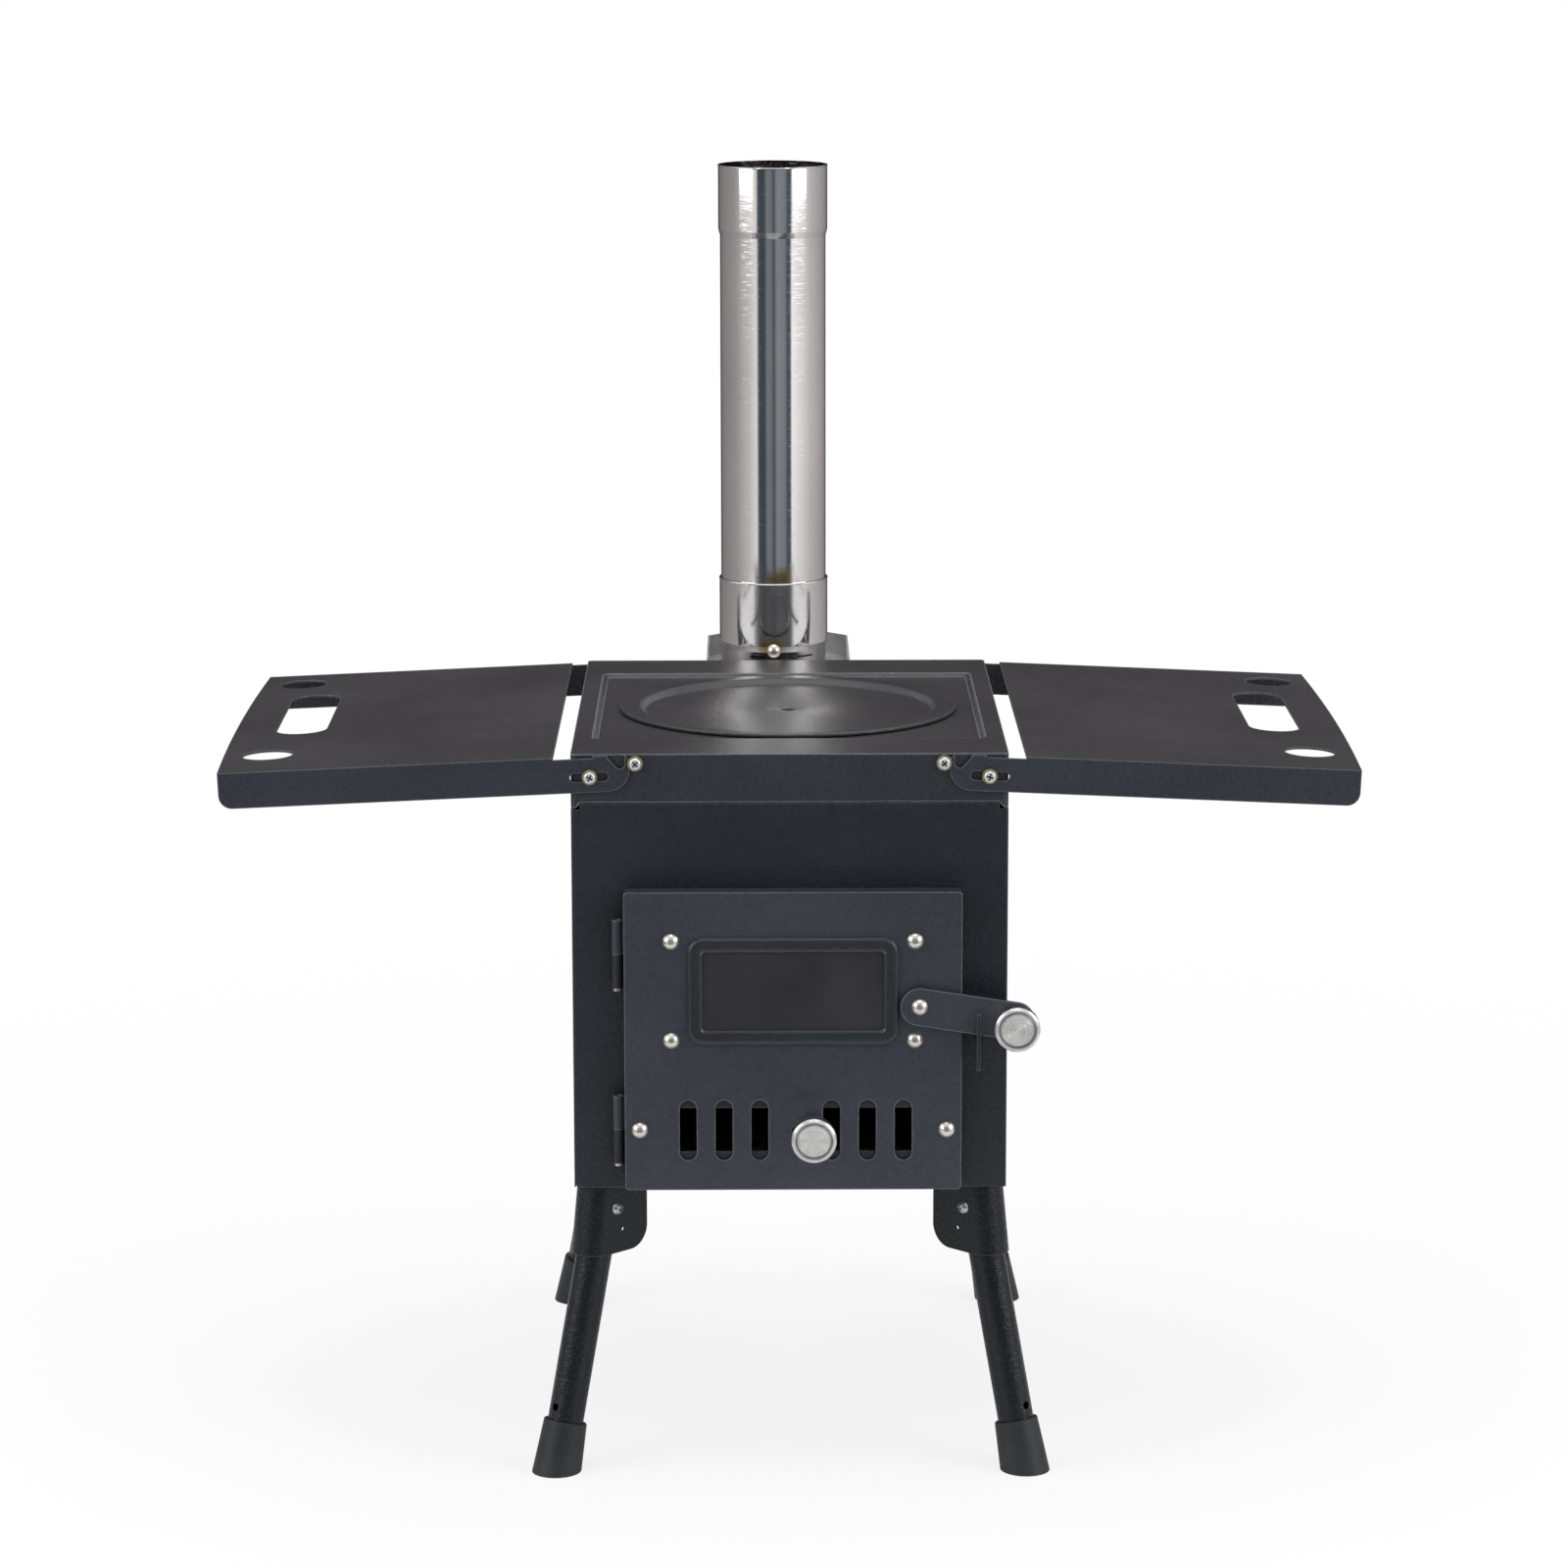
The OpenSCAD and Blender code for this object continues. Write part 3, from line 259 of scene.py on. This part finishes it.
def stove_paint(name, dark, pale, fold_wear_and_highlight, gloss, level, relief, fold_r=0.0012, painted_top_light=None):
    """Sprayed stove paint: grain from the sheet and the spray, clouding, and folds painted toward
    a paler colour, partly as wear and partly as a painted highlight. Faces that look up are
    smoother and, if a pair of colours is given, take it as painted light on the tops."""
    material = finish(name, {"Specular IOR Level": level})
    start = Layer(material.node_tree)
    peel = grain(start, 1100, 3.0, 0.65)
    speck = grain(start, 430, 2.0, 0.5)
    cloud = grain(start, 11, 4.0, 0.55)
    rounded = start.node("Bevel", {"samples": 8}, {"Radius": fold_r}, out="Normal")
    flat = start.node("NewGeometry", {}, {}, out="True Normal")
    agree = start.node(
        "VectorMath", {"operation": "DOT_PRODUCT"}, {0: rounded, 1: flat}, out="Value"
    )
    fold = (1 - agree).ramp(0.01, 0.2) * (speck.ramp(0.3, 0.6) * 0.35 + 0.65)
    mottle = (cloud * 0.4 + peel * 0.35 + speck * 0.25).ramp(0.36, 0.64)
    shade = mottle.tint(dark, pale)
    skin_height = peel * 0.5 + speck.ramp(0.35, 0.65) * 0.5
    dull = cloud * 0.1 + speck * 0.12 + (gloss - 0.11)
    if painted_top_light:
        # painted light: faces that look up are painted a lighter pair of colours
        normal = start.node("TexCoord", {}, {}, out="Normal")
        upward = start.node("SeparateXYZ", {}, {0: normal}, out="Z").ramp(0.6, 0.95)
        shade = upward.tint(shade, mottle.tint(*painted_top_light))
        skin_height = skin_height * (1 - upward * 0.7)
        dull = dull - upward * 0.06
    bump = start.node(
        "Bump",
        {},
        {"Strength": 1.0, "Distance": relief, "Height": skin_height, "Normal": rounded},
    )
    vary(
        material,
        {
            # painted highlight and wear: the folds are painted toward the paler fold colour
            "Base Color": (fold * 0.8).tint(shade, fold_wear_and_highlight),
            "Roughness": dull,
            "Normal": bump,
        },
    )
    return material


def dress(names, material):
    """Gives CAD nodes their finish."""
    for node_name in names:
        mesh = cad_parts[node_name].data
        mesh.materials.clear()
        mesh.materials.append(material)


blue_black = stove_paint(
    "blue_black_stove_paint",
    dark=(0.0076, 0.0098, 0.0158),
    pale=(0.0142, 0.0174, 0.026),
    fold_wear_and_highlight=(0.08, 0.09, 0.105),
    gloss=0.46,
    level=0.42,
    relief=0.00018,
)
dress(["firebox_wrap", "firebox_rear", "firebox_floor"], blue_black)

# Top cover: one folded sheet with a recessed panel, and the pressed lid that lies on it. Their
# paint is wrinkled at the skirt and smoother where it looks up. The faces that look up are
# painted a lighter, warmer pair of colours as painted light, and the folds a bright painted
# highlight.

# painted light: a lighter pair on the faces that look up, and a bright painted highlight on the
# folds
warm_black = stove_paint(
    "warm_black_top_paint",
    dark=(0.0145, 0.018, 0.0255),
    pale=(0.0235, 0.028, 0.038),
    fold_wear_and_highlight=(0.36, 0.37, 0.39),
    gloss=0.43,
    level=0.45,
    relief=0.0003,
    fold_r=0.0013,
    painted_top_light=((0.0225, 0.022, 0.0232), (0.0372, 0.0365, 0.038)),
)
dress(["top_cap", "cooking_lid"], warm_black)


def pick(piece):
    """Selects one piece alone and makes it the active one."""
    bpy.ops.object.select_all(action="DESELECT")
    piece.select_set(True)
    bpy.context.view_layer.objects.active = piece


def settle():
    """Takes the place, turn and scale of the piece in hand into its mesh."""
    bpy.ops.object.transform_apply(location=True, rotation=True, scale=True)


def press(ring, profile, centre):
    """Carries a ring of edges through the rings of a pressed profile, each a radius and a
    height, and back to the first."""
    pick(ring)
    bpy.ops.object.mode_set(mode="EDIT")
    bpy.ops.mesh.select_all(action="SELECT")
    for (near, low), (far, high) in zip(profile, profile[1:] + profile[:1]):
        bpy.ops.mesh.extrude_region_move(TRANSFORM_OT_translate={"value": (0, 0, high - low)})
        bpy.ops.transform.resize(value=(far / near, far / near, 1), center_override=centre)
    bpy.ops.mesh.select_all(action="SELECT")
    bpy.ops.mesh.remove_doubles(threshold=weld_reach)
    bpy.ops.mesh.normals_make_consistent(inside=False)
    bpy.ops.object.mode_set(mode="OBJECT")
    return ring


weld_reach = 0.000005
cap_low, cap_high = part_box("top_cap")
lid_low, lid_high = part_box("cooking_lid")
lid_r = (lid_high.x - lid_low.x) / 2
lid_top = lid_high.z
lid_place = ((lid_low.x + lid_high.x) / 2, (lid_low.y + lid_high.y) / 2, 0)
hole_r = 0.00375
ring_steps = 144
lid_profile = [
    (hole_r, lid_top - 0.005),
    (hole_r, lid_top - 0.0035),
    (0.00395, lid_top - 0.00312),
    (0.0044, lid_top - 0.003),
    (lid_r - 0.0155, lid_top - 0.003),
    (lid_r - 0.0146, lid_top - 0.00288),
    (lid_r - 0.0137, lid_top - 0.0024),
    (lid_r - 0.0112, lid_top - 0.0006),
    (lid_r - 0.0104, lid_top - 0.00015),
    (lid_r - 0.0095, lid_top),
    (lid_r - 0.0009, lid_top),
    (lid_r - 0.0003, lid_top - 0.0002),
    (lid_r, lid_top - 0.0007),
    (lid_r, lid_top - 0.0014),
    (lid_r - 0.0002, lid_top - 0.0018),
    (lid_r - 0.0007, lid_top - 0.002),
    (lid_r - 0.0102, lid_top - 0.002),
    (lid_r - 0.0136, lid_top - 0.0045),
    (lid_r - 0.0152, lid_top - 0.005),
]
bpy.ops.object.select_all(action="DESELECT")
bpy.ops.mesh.primitive_circle_add(
    vertices=ring_steps,
    radius=hole_r,
    location=(lid_place[0], lid_place[1], lid_profile[0][1]),
)
settle()
lid = press(bpy.context.object, lid_profile, lid_place)
lid.name = "pressed_lid"
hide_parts("cooking_lid")

recess_w = cap_high.x - cap_low.x - 0.02
recess_d = 2 * lid_r + 0.018
recess_corner = 0.004
recess_skin = 0.0003
recess_sink = 0.00002
recess_steps = (
    (0.0003, 0.00006),
    (0.0004, 0.0003),
    (0.0007, 0.0008),
    (0.0005, 0.0005),
    (0.0005, 0.0002),
    (0.0006, 0.00006),
)
bpy.ops.object.select_all(action="DESELECT")
bpy.ops.mesh.primitive_plane_add(size=1, location=(0, lid_place[1], cap_high.z - recess_sink))
recess = bpy.context.object
recess.name = "recess_fold"
recess.scale = (recess_w, recess_d, 1)
settle()
bpy.ops.object.mode_set(mode="EDIT")
bpy.ops.mesh.select_all(action="SELECT")
bpy.ops.mesh.bevel(offset=recess_corner, segments=8, affect="VERTICES", clamp_overlap=False)
bpy.ops.mesh.select_all(action="SELECT")
for inward, drop in recess_steps:
    bpy.ops.mesh.inset(thickness=inward, depth=-drop)
bpy.ops.mesh.delete(type="FACE")
bpy.ops.object.mode_set(mode="OBJECT")
thick = recess.modifiers.new("thick", "SOLIDIFY")
thick.thickness = recess_skin
thick.offset = -1
bpy.ops.object.modifier_apply(modifier="thick")

for sheet, body in ((recess, "firebox"), (lid, "cooking_lid")):
    pick(sheet)
    bpy.ops.object.shade_smooth_by_angle(angle=math.radians(35))
    sheet.data.materials.append(warm_black)
    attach(sheet, body)

# Grate: a slotted plate on four feet, loose on the floor pan. It is bare steel that the fire has
# scaled and sooted.

scale_black = finish("scaled_bare_steel", {"Metallic": 0.0, "Specular IOR Level": 0.3})
start = Layer(scale_black.node_tree)
scale_patch = grain(start, 60, 5.0, 0.7, 0.4)
vary(
    scale_black,
    {
        "Base Color": scale_patch.ramp(0.35, 0.7).tint((0.016, 0.015, 0.014), (0.075, 0.06, 0.05)),
        "Roughness": scale_patch * 0.3 + 0.5,
        "Normal": start.node(
            "Bump", {}, {"Strength": 1.0, "Distance": 0.0003, "Height": grain(start, 400, 4.0)}
        ),
    },
)
dress(["fire_grate"], scale_black)

# Flue box: thin bare stainless sheet behind the body, folded with chamfered corners. The mill
# finish is grey and faintly clouded.

mill_grey = finish("bare_mill_sheet", {"Metallic": 0.45, "Specular IOR Level": 0.6})
start = Layer(mill_grey.node_tree)
cloud = grain(start, 25, 4.0, 0.6)
drawn = start.node(
    "TexNoise",
    {},
    {
        "Vector": start.node(
            "Mapping",
            {},
            {"Vector": start.node("TexCoord", {}, {}, out="Object"), "Scale": (1, 1, 0.03)},
        ),
        "Scale": 1600,
        "Detail": 2.0,
    },
)
vary(
    mill_grey,
    {
        "Base Color": cloud.ramp(0.3, 0.7).tint((0.4, 0.4, 0.405), (0.62, 0.62, 0.625)),
        "Roughness": cloud * 0.16 + drawn * 0.1 + 0.24,
        "Normal": start.node("Bump", {}, {"Strength": 0.4, "Distance": 0.00003, "Height": drawn}),
    },
)
dress(["flue_box", "flue_box_roof"], mill_grey)

# Flue stub: rolled from bright stainless, spot welded to the roof. The weld and the fire have
# tinted it straw and brown round the rivet at the front.

_, stub_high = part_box("flue_stub")
pipe_low, pipe_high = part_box("chimney_pipe")
axis_x = (pipe_low.x + pipe_high.x) / 2
axis_y = (pipe_low.y + pipe_high.y) / 2
rivet_low, rivet_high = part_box("flue_stub_rivet")
rivet_z = (rivet_low.z + rivet_high.z) / 2


def bright_steel(name, tint_spots):
    """Mirror stainless sheet: rolling waves, hair lines round it, and heat tint at the spots."""
    material = finish(name, {"Metallic": 1.0})
    start = Layer(material.node_tree)
    spot = start.node("TexCoord", {}, {}, out="Object")
    smear = grain(start, 9, 3.0, 0.5)
    waves = start.node(
        "TexNoise",
        {},
        {
            "Vector": start.node("Mapping", {}, {"Vector": spot, "Scale": (1, 1, 0.25)}),
            "Scale": 38,
            "Detail": 1.0,
        },
    )
    hairs = start.node(
        "TexNoise",
        {},
        {
            "Vector": start.node("Mapping", {}, {"Vector": spot, "Scale": (0.06, 0.06, 1)}),
            "Scale": 2600,
            "Detail": 2.0,
        },
    )
    steel = smear.ramp(0.3, 0.75).tint((0.76, 0.745, 0.75), (0.86, 0.845, 0.84))
    for place, reach, strength in tint_spots:
        apart = start.node(
            "VectorMath", {"operation": "DISTANCE"}, {0: spot, 1: place}, out="Value"
        )
        rim = (apart + (smear - 0.5) * (reach * 0.8)).ramp(reach, 0.0) * strength
        heat = rim.ramp(0.35, 0.95).tint((0.78, 0.58, 0.3), (0.2, 0.12, 0.1))
        steel = rim.ramp(0.0, 0.5).tint(steel, heat)
    bump = start.node(
        "Bump",
        {},
        {"Strength": 0.3, "Distance": 0.0001, "Height": waves * 0.5 + hairs * 0.06},
    )
    vary(
        material,
        {
            "Base Color": steel,
            "Roughness": smear * 0.06 + hairs.ramp(0.5, 0.8) * 0.22 + 0.03,
            "Normal": bump,
        },
    )
    return material


stub_steel = bright_steel(
    "heat_tinted_stainless",
    [
        ((axis_x, rivet_low.y, rivet_z), 0.012, 1.0),
        ((axis_x - 0.005, rivet_low.y, rivet_z + 0.002), 0.009, 0.9),
    ],
)
dress(["flue_stub"], stub_steel)

# Chimney: one length of bright stainless pipe with a socket rolled into its upper end. It only
# stands in the stub, and lifts out for packing.

pipe_steel = bright_steel(
    "mirror_stainless", [((axis_x + 0.004, pipe_low.y, stub_high.z + 0.001), 0.012, 0.55)]
)
dress(["chimney_pipe"], pipe_steel)

# Door: a pressed pan with a raised bead round the window. It is sprayed a shade greyer and
# smoother than the body.

door_grey = stove_paint(
    "grey_black_door_paint",
    dark=(0.0275, 0.0328, 0.0425),
    pale=(0.0395, 0.046, 0.058),
    fold_wear_and_highlight=(0.2, 0.215, 0.24),
    gloss=0.34,
    level=0.45,
    relief=0.0001,
)
dress(["door_panel", "window_retainer", "air_slider_guide", "hinge_door_barrels"], door_grey)

door_low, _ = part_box("door_panel")
glass_low, glass_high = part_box("window_glass")
glass_middle = (glass_low + glass_high) / 2
bead_w = 0.0967 + 0.014
bead_h = 0.0438 + 0.014
bead_band = 0.0084
bead_corner = 0.0086
bead_rise = 0.00275
bead_round = 0.0024
bead_back = 0.0025
bpy.ops.object.select_all(action="DESELECT")
bpy.ops.mesh.primitive_plane_add(
    size=1,
    location=(glass_middle.x, door_low.y + bead_back, glass_middle.z),
    rotation=(math.pi / 2, 0, 0),
)
bead = bpy.context.object
bead.name = "window_bead"
bead.scale = (bead_w, bead_h, 1)
settle()
bpy.ops.object.mode_set(mode="EDIT")
bpy.ops.mesh.select_all(action="SELECT")
bpy.ops.mesh.bevel(offset=bead_corner, segments=10, affect="VERTICES", clamp_overlap=False)
bpy.ops.mesh.select_all(action="SELECT")
bpy.ops.mesh.inset(thickness=bead_band, use_boundary=True)
bpy.ops.mesh.delete(type="FACE")
bpy.ops.object.mode_set(mode="OBJECT")
thick = bead.modifiers.new("thick", "SOLIDIFY")
thick.thickness = bead_rise
thick.offset = 1
bpy.ops.object.modifier_apply(modifier="thick")
bpy.ops.object.mode_set(mode="EDIT")
bpy.ops.mesh.select_mode(type="EDGE")
bpy.ops.mesh.select_all(action="DESELECT")
bpy.ops.mesh.edges_select_sharp(sharpness=math.radians(50))
bpy.ops.object.mode_set(mode="OBJECT")
for edge in bead.data.edges:
    ends = [bead.data.vertices[end].co.y for end in edge.vertices]
    edge.select = edge.select and max(ends) < door_low.y + bead_back / 2
for part in (*bead.data.vertices, *bead.data.polygons):
    part.select = False
bpy.ops.object.mode_set(mode="EDIT")
bpy.ops.mesh.bevel(offset=bead_round, segments=8, affect="EDGES", clamp_overlap=False)
bpy.ops.object.mode_set(mode="OBJECT")
bpy.ops.object.shade_smooth_by_angle(angle=math.radians(40))
# painted shade and highlight: the bead takes a darker copy of the door paint, and its folds a
# bright painted highlight
bead_shade_and_highlight_paint = stove_paint(
    "grey_black_bead_painted_shade_and_highlight",
    dark=(0.0135, 0.0165, 0.0225),
    pale=(0.02, 0.024, 0.031),
    fold_wear_and_highlight=(0.34, 0.36, 0.39),
    gloss=0.32,
    level=0.5,
    relief=0.00008,
    fold_r=0.0026,
)
bead.data.materials.append(bead_shade_and_highlight_paint)
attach(bead, "door")

# Window: a pane of dark ceramic glass held behind the door by its retainer. Soot has browned
# it from inside.

sooted_glass = finish("sooted_ceramic_glass", {"Specular IOR Level": 0.5})
start = Layer(sooted_glass.node_tree)
soot_and_shade = grain(start, 24, 5.0, 0.6, 0.3)
vary(
    sooted_glass,
    {
        "Base Color": soot_and_shade.ramp(0.3, 0.75).tint((0.0175, 0.0162, 0.0195), (0.024, 0.0222, 0.0265)),
        "Roughness": soot_and_shade * 0.2 + 0.3,
    },
)
dress(["window_glass"], sooted_glass)

# Rivets: domed nickel-plated heads, set cold through the door, the lever and the stub. The
# plating is bright, with fine scuffs from the setting tool.


def plated(name, low, high, gloss, dents, metal=0.6):
    """Bright plating over turned or pressed steel, with soft dents and scuffs. Faces that carry
    the recess attribute are painted near black as painted shade."""
    material = finish(name, {"Metallic": metal})
    start = Layer(material.node_tree)
    scuff = grain(start, 700, 3.0, 0.6)
    dent = grain(start, 240, 1.0, 0.4)
    # painted shade: faces marked in the screw recesses are painted near black
    recess_shade = start.node("Attribute", {"attribute_name": "soot_and_shade"}, {}, out="Fac")
    bright = scuff.ramp(0.3, 0.75).tint(low, high)
    vary(
        material,
        {
            "Base Color": (recess_shade * 0.9).tint(bright, (0.03, 0.032, 0.036)),
            "Roughness": scuff * 0.16 + gloss,
            "Normal": start.node(
                "Bump", {}, {"Strength": 0.7, "Distance": dents, "Height": dent + scuff * 0.3}
            ),
        },
    )
    return material


nickel = plated("nickel_plate", (0.6, 0.565, 0.52), (0.78, 0.74, 0.69), 0.2, 0.00005, 0.92)
dress(
    ["window_rivets", "guide_rivets", "latch_pivot_rivet", "flue_stub_rivet", "hinge_pins"],
    nickel,
)

# Knobs: turned from stainless bar and screwed on their stems. The flat faces keep the fine
# ridges of the lathe inside a near-black ring, painted shade that stands for a turned groove.


def turned_face(name, centre, reach):
    """Turned steel: fine ridges round the knob's axis, inside a dark ring of painted groove shade.
    """
    ridge_pitch = 0.0005
    groove_place = 0.8
    material = finish(name, {"Metallic": 1.0})
    start = Layer(material.node_tree)
    spot = start.node("TexCoord", {}, {}, out="Object")
    local = start.node("VectorMath", {"operation": "SUBTRACT"}, {0: spot, 1: centre})
    across = start.node("SeparateXYZ", {}, {0: local}, out="X")
    upward = start.node("SeparateXYZ", {}, {0: local}, out="Z")
    radius = (across * across + upward * upward) ** 0.5
    rings = start.node("Math", {"operation": "SINE"}, {0: radius * (2 * math.pi / ridge_pitch)})
    uneven = start.node(
        "TexNoise",
        {"noise_dimensions": "1D"},
        {"W": radius, "Scale": 2300, "Detail": 2.0},
    )
    apart = start.node("Math", {"operation": "ABSOLUTE"}, {0: radius - reach * groove_place})
    # painted shade: a near-black ring stands for the shade in a turned groove
    groove_shade = apart.ramp(0.0007, 0.0002) * 0.75
    vary(
        material,
        {
            "Base Color": groove_shade.tint(
                uneven.ramp(0.3, 0.7).tint((0.8, 0.79, 0.77), (0.92, 0.91, 0.89)),
                (0.06, 0.06, 0.065),
            ),
            "Roughness": uneven * 0.1 + 0.2,
            "Normal": start.node(
                "Bump",
                {},
                {"Strength": 1.0, "Distance": 0.00006, "Height": rings * 0.6 + uneven * 0.4},
            ),
        },
    )
    return material


for knob_name in ("air_knob", "latch_knob"):
    low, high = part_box(knob_name)
    turned_steel = turned_face(
        knob_name + "_turned_steel", (low + high) / 2, (high.x - low.x) / 2
    )
    dress([knob_name], turned_steel)

# Latch: a flat lever on its rivet, painted with the door, and the gusset it drops into, welded
# to the firebox and painted with it, as are the hinge barrels and the air slider.

dress(["latch_keeper", "hinge_body_barrels", "air_slider"], blue_black)
dress(["latch_lever"], door_grey)

# Shelves: flat sheets with turned-down front and back edges, which end in slotted tabs. They
# are painted with the cover; their folds take a weaker painted highlight and wear, and the
# faces that look up a lighter pair of colours as painted light.

# painted light: lighter faces that look up, and a painted highlight with wear on the folds
shelf_black = stove_paint(
    "warm_black_shelf_paint",
    dark=(0.0165, 0.0205, 0.029),
    pale=(0.0265, 0.0315, 0.0425),
    fold_wear_and_highlight=(0.16, 0.17, 0.185),
    gloss=0.45,
    level=0.45,
    relief=0.00032,
    fold_r=0.0012,
    painted_top_light=((0.0245, 0.024, 0.0252), (0.04, 0.0392, 0.041)),
)
dress(["left_shelf", "right_shelf"], shelf_black)

# Shelf screws: zinc-plated pan heads whose cross recess is painted dark as painted shade. The
# pivot screws run in sleeves and all have washers under them, in yellow zinc. The bolts of the
# legs are in blue zinc.

zinc = plated("zinc_plate", (0.62, 0.66, 0.7), (0.84, 0.88, 0.92), 0.24, 0.00005)
yellow_zinc = plated("yellow_zinc_plate", (0.36, 0.27, 0.12), (0.6, 0.52, 0.32), 0.24, 0.0001)
blue_zinc = plated("blue_zinc_plate", (0.3, 0.35, 0.4), (0.56, 0.63, 0.7), 0.2, 0.00005, 0.85)
dress(["flue_box_screws", "shelf_nuts"], zinc)
dress(["leg_nuts", "leg_bolts"], blue_zinc)
dress(["shelf_washers", "left_pivot_bushes", "right_pivot_bushes"], yellow_zinc)


head_r = 0.00305
head_h = 0.0022
recess_reach = 0.0036
recess_cut = 0.00085
recess_depth = 0.0013
recess_shade_from = 0.0003
recess_shade_reach = 0.00182
slack = 0.0001
shank_l = 0.00905
shank_sink = 0.0001


def pan_screw(shank_r):
    """One cross-recess pan screw. Its head faces -y, and the head's seat lies at the origin."""
    bpy.ops.object.select_all(action="DESELECT")
    bpy.ops.mesh.primitive_cylinder_add(
        vertices=40,
        radius=head_r,
        depth=head_h,
        location=(0, -head_h / 2, 0),
        rotation=(math.pi / 2, 0, 0),
    )
    screw = bpy.context.object
    settle()
    rim = screw.modifiers.new("round", "BEVEL")
    rim.width = 0.0012
    rim.segments = 5
    rim.limit_method = "ANGLE"
    bpy.ops.object.modifier_apply(modifier="round")
    bpy.ops.object.select_all(action="DESELECT")
    bpy.ops.mesh.primitive_cube_add(size=1, location=(0, -head_h, 0))
    blade = bpy.context.object
    blade.scale = (recess_reach, 2 * recess_depth, recess_cut)
    settle()
    cross = blade.copy()
    cross.data = blade.data.copy()
    cross.data.transform(Matrix.Rotation(math.pi / 2, 4, "Y"))
    bpy.context.scene.collection.objects.link(cross)
    for cutter in (blade, cross):
        cut = screw.modifiers.new("recess", "BOOLEAN")
        cut.operation = "DIFFERENCE"
        cut.solver = "EXACT"
        cut.object = cutter
        pick(screw)
        bpy.ops.object.modifier_apply(modifier="recess")
        bpy.data.objects.remove(cutter)
    bpy.ops.object.select_all(action="DESELECT")
    bpy.ops.mesh.primitive_cylinder_add(
        vertices=28,
        radius=shank_r,
        depth=shank_l,
        location=(0, shank_l / 2 - shank_sink, 0),
        rotation=(math.pi / 2, 0, 0),
    )
    settle()
    screw.select_set(True)
    bpy.context.view_layer.objects.active = screw
    bpy.ops.object.join()
    return screw


def pan_screws(name, node_name, shank_r, turns):
    """Four pan screws in the places of a CAD node's four screws, their recesses painted dark as
    painted shade.
    """
    low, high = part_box(node_name)
    at_x = high.x - head_r
    at_z = (low.z + high.z) / 2
    seat_y = {0: low.y + head_h, 1: high.y - head_h}
    screw = pan_screw(shank_r)
    for count, (sx, back) in enumerate(((-1, 0), (1, 0), (-1, 1), (1, 1))):
        one = screw.copy()
        one.data = screw.data.copy()
        one.name = f"{name}_{count + 1}"
        # painted shade: faces deep in the cross recess are marked to be painted dark
        soot_and_shade = one.data.attributes.new("soot_and_shade", "FLOAT", "FACE")
        for face in one.data.polygons:
            depth = face.center.y + head_h
            off_middle = math.hypot(face.center.x, face.center.z)
            in_recess = recess_shade_from < depth < recess_depth + slack and off_middle < recess_shade_reach
            soot_and_shade.data[face.index].value = float(in_recess)
        one.data.transform(
            Matrix.Translation((sx * at_x, seat_y[back], at_z))
            @ Matrix.Rotation(math.pi * back, 4, "Z")
            @ Matrix.Rotation(turns[count], 4, "Y")
        )
        bpy.context.scene.collection.objects.link(one)
        one.data.materials.clear()
        one.data.materials.append(zinc)
        pick(one)
        bpy.ops.object.shade_smooth_by_angle(angle=math.radians(35))
        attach(one, "firebox")
        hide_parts(node_name)
    bpy.data.objects.remove(screw)


pan_screws("shelf_pivot_screw", "shelf_pivot_screws", 0.0015, (0.5, 0.3, 1.1, 0.2))
pan_screws("shelf_latch_screw", "shelf_latch_screws", 0.002, (0.75, 0.9, 0.1, 0.6))

# Legs: steel tubes that fold on a bolt between the cheeks of their brackets. The brackets are
# folded sheet, welded under the firebox, and all of it is painted with the body, here in a much
# darker copy of its paint as painted shade.

# painted shade: legs and brackets take a darker copy of the body paint
leg_shaded_paint = stove_paint(
    "blue_black_leg_painted_shade",
    dark=(0.0028, 0.0042, 0.0076),
    pale=(0.0042, 0.0058, 0.0098),
    fold_wear_and_highlight=(0.07, 0.078, 0.09),
    gloss=0.32,
    level=0.34,
    relief=0.00026,
)
corners = ("front_left", "front_right", "back_left", "back_right")
dress(["bracket_" + c for c in corners] + ["leg_" + c for c in corners], leg_shaded_paint)

# Feet: moulded rubber caps pushed over the ends of the legs. The rubber is matt with a slight
# bloom.

rubber = finish("moulded_rubber", {"Specular IOR Level": 0.4})
start = Layer(rubber.node_tree)
bloom = grain(start, 45, 4.0, 0.6)
vary(
    rubber,
    {
        "Base Color": bloom.ramp(0.3, 0.75).tint((0.012, 0.0132, 0.016), (0.023, 0.0252, 0.0295)),
        "Roughness": bloom * 0.2 + 0.42,
        "Normal": start.node(
            "Bump", {}, {"Strength": 0.6, "Distance": 0.00008, "Height": grain(start, 900, 2.0)}
        ),
    },
)
dress(["foot_" + c for c in corners], rubber)
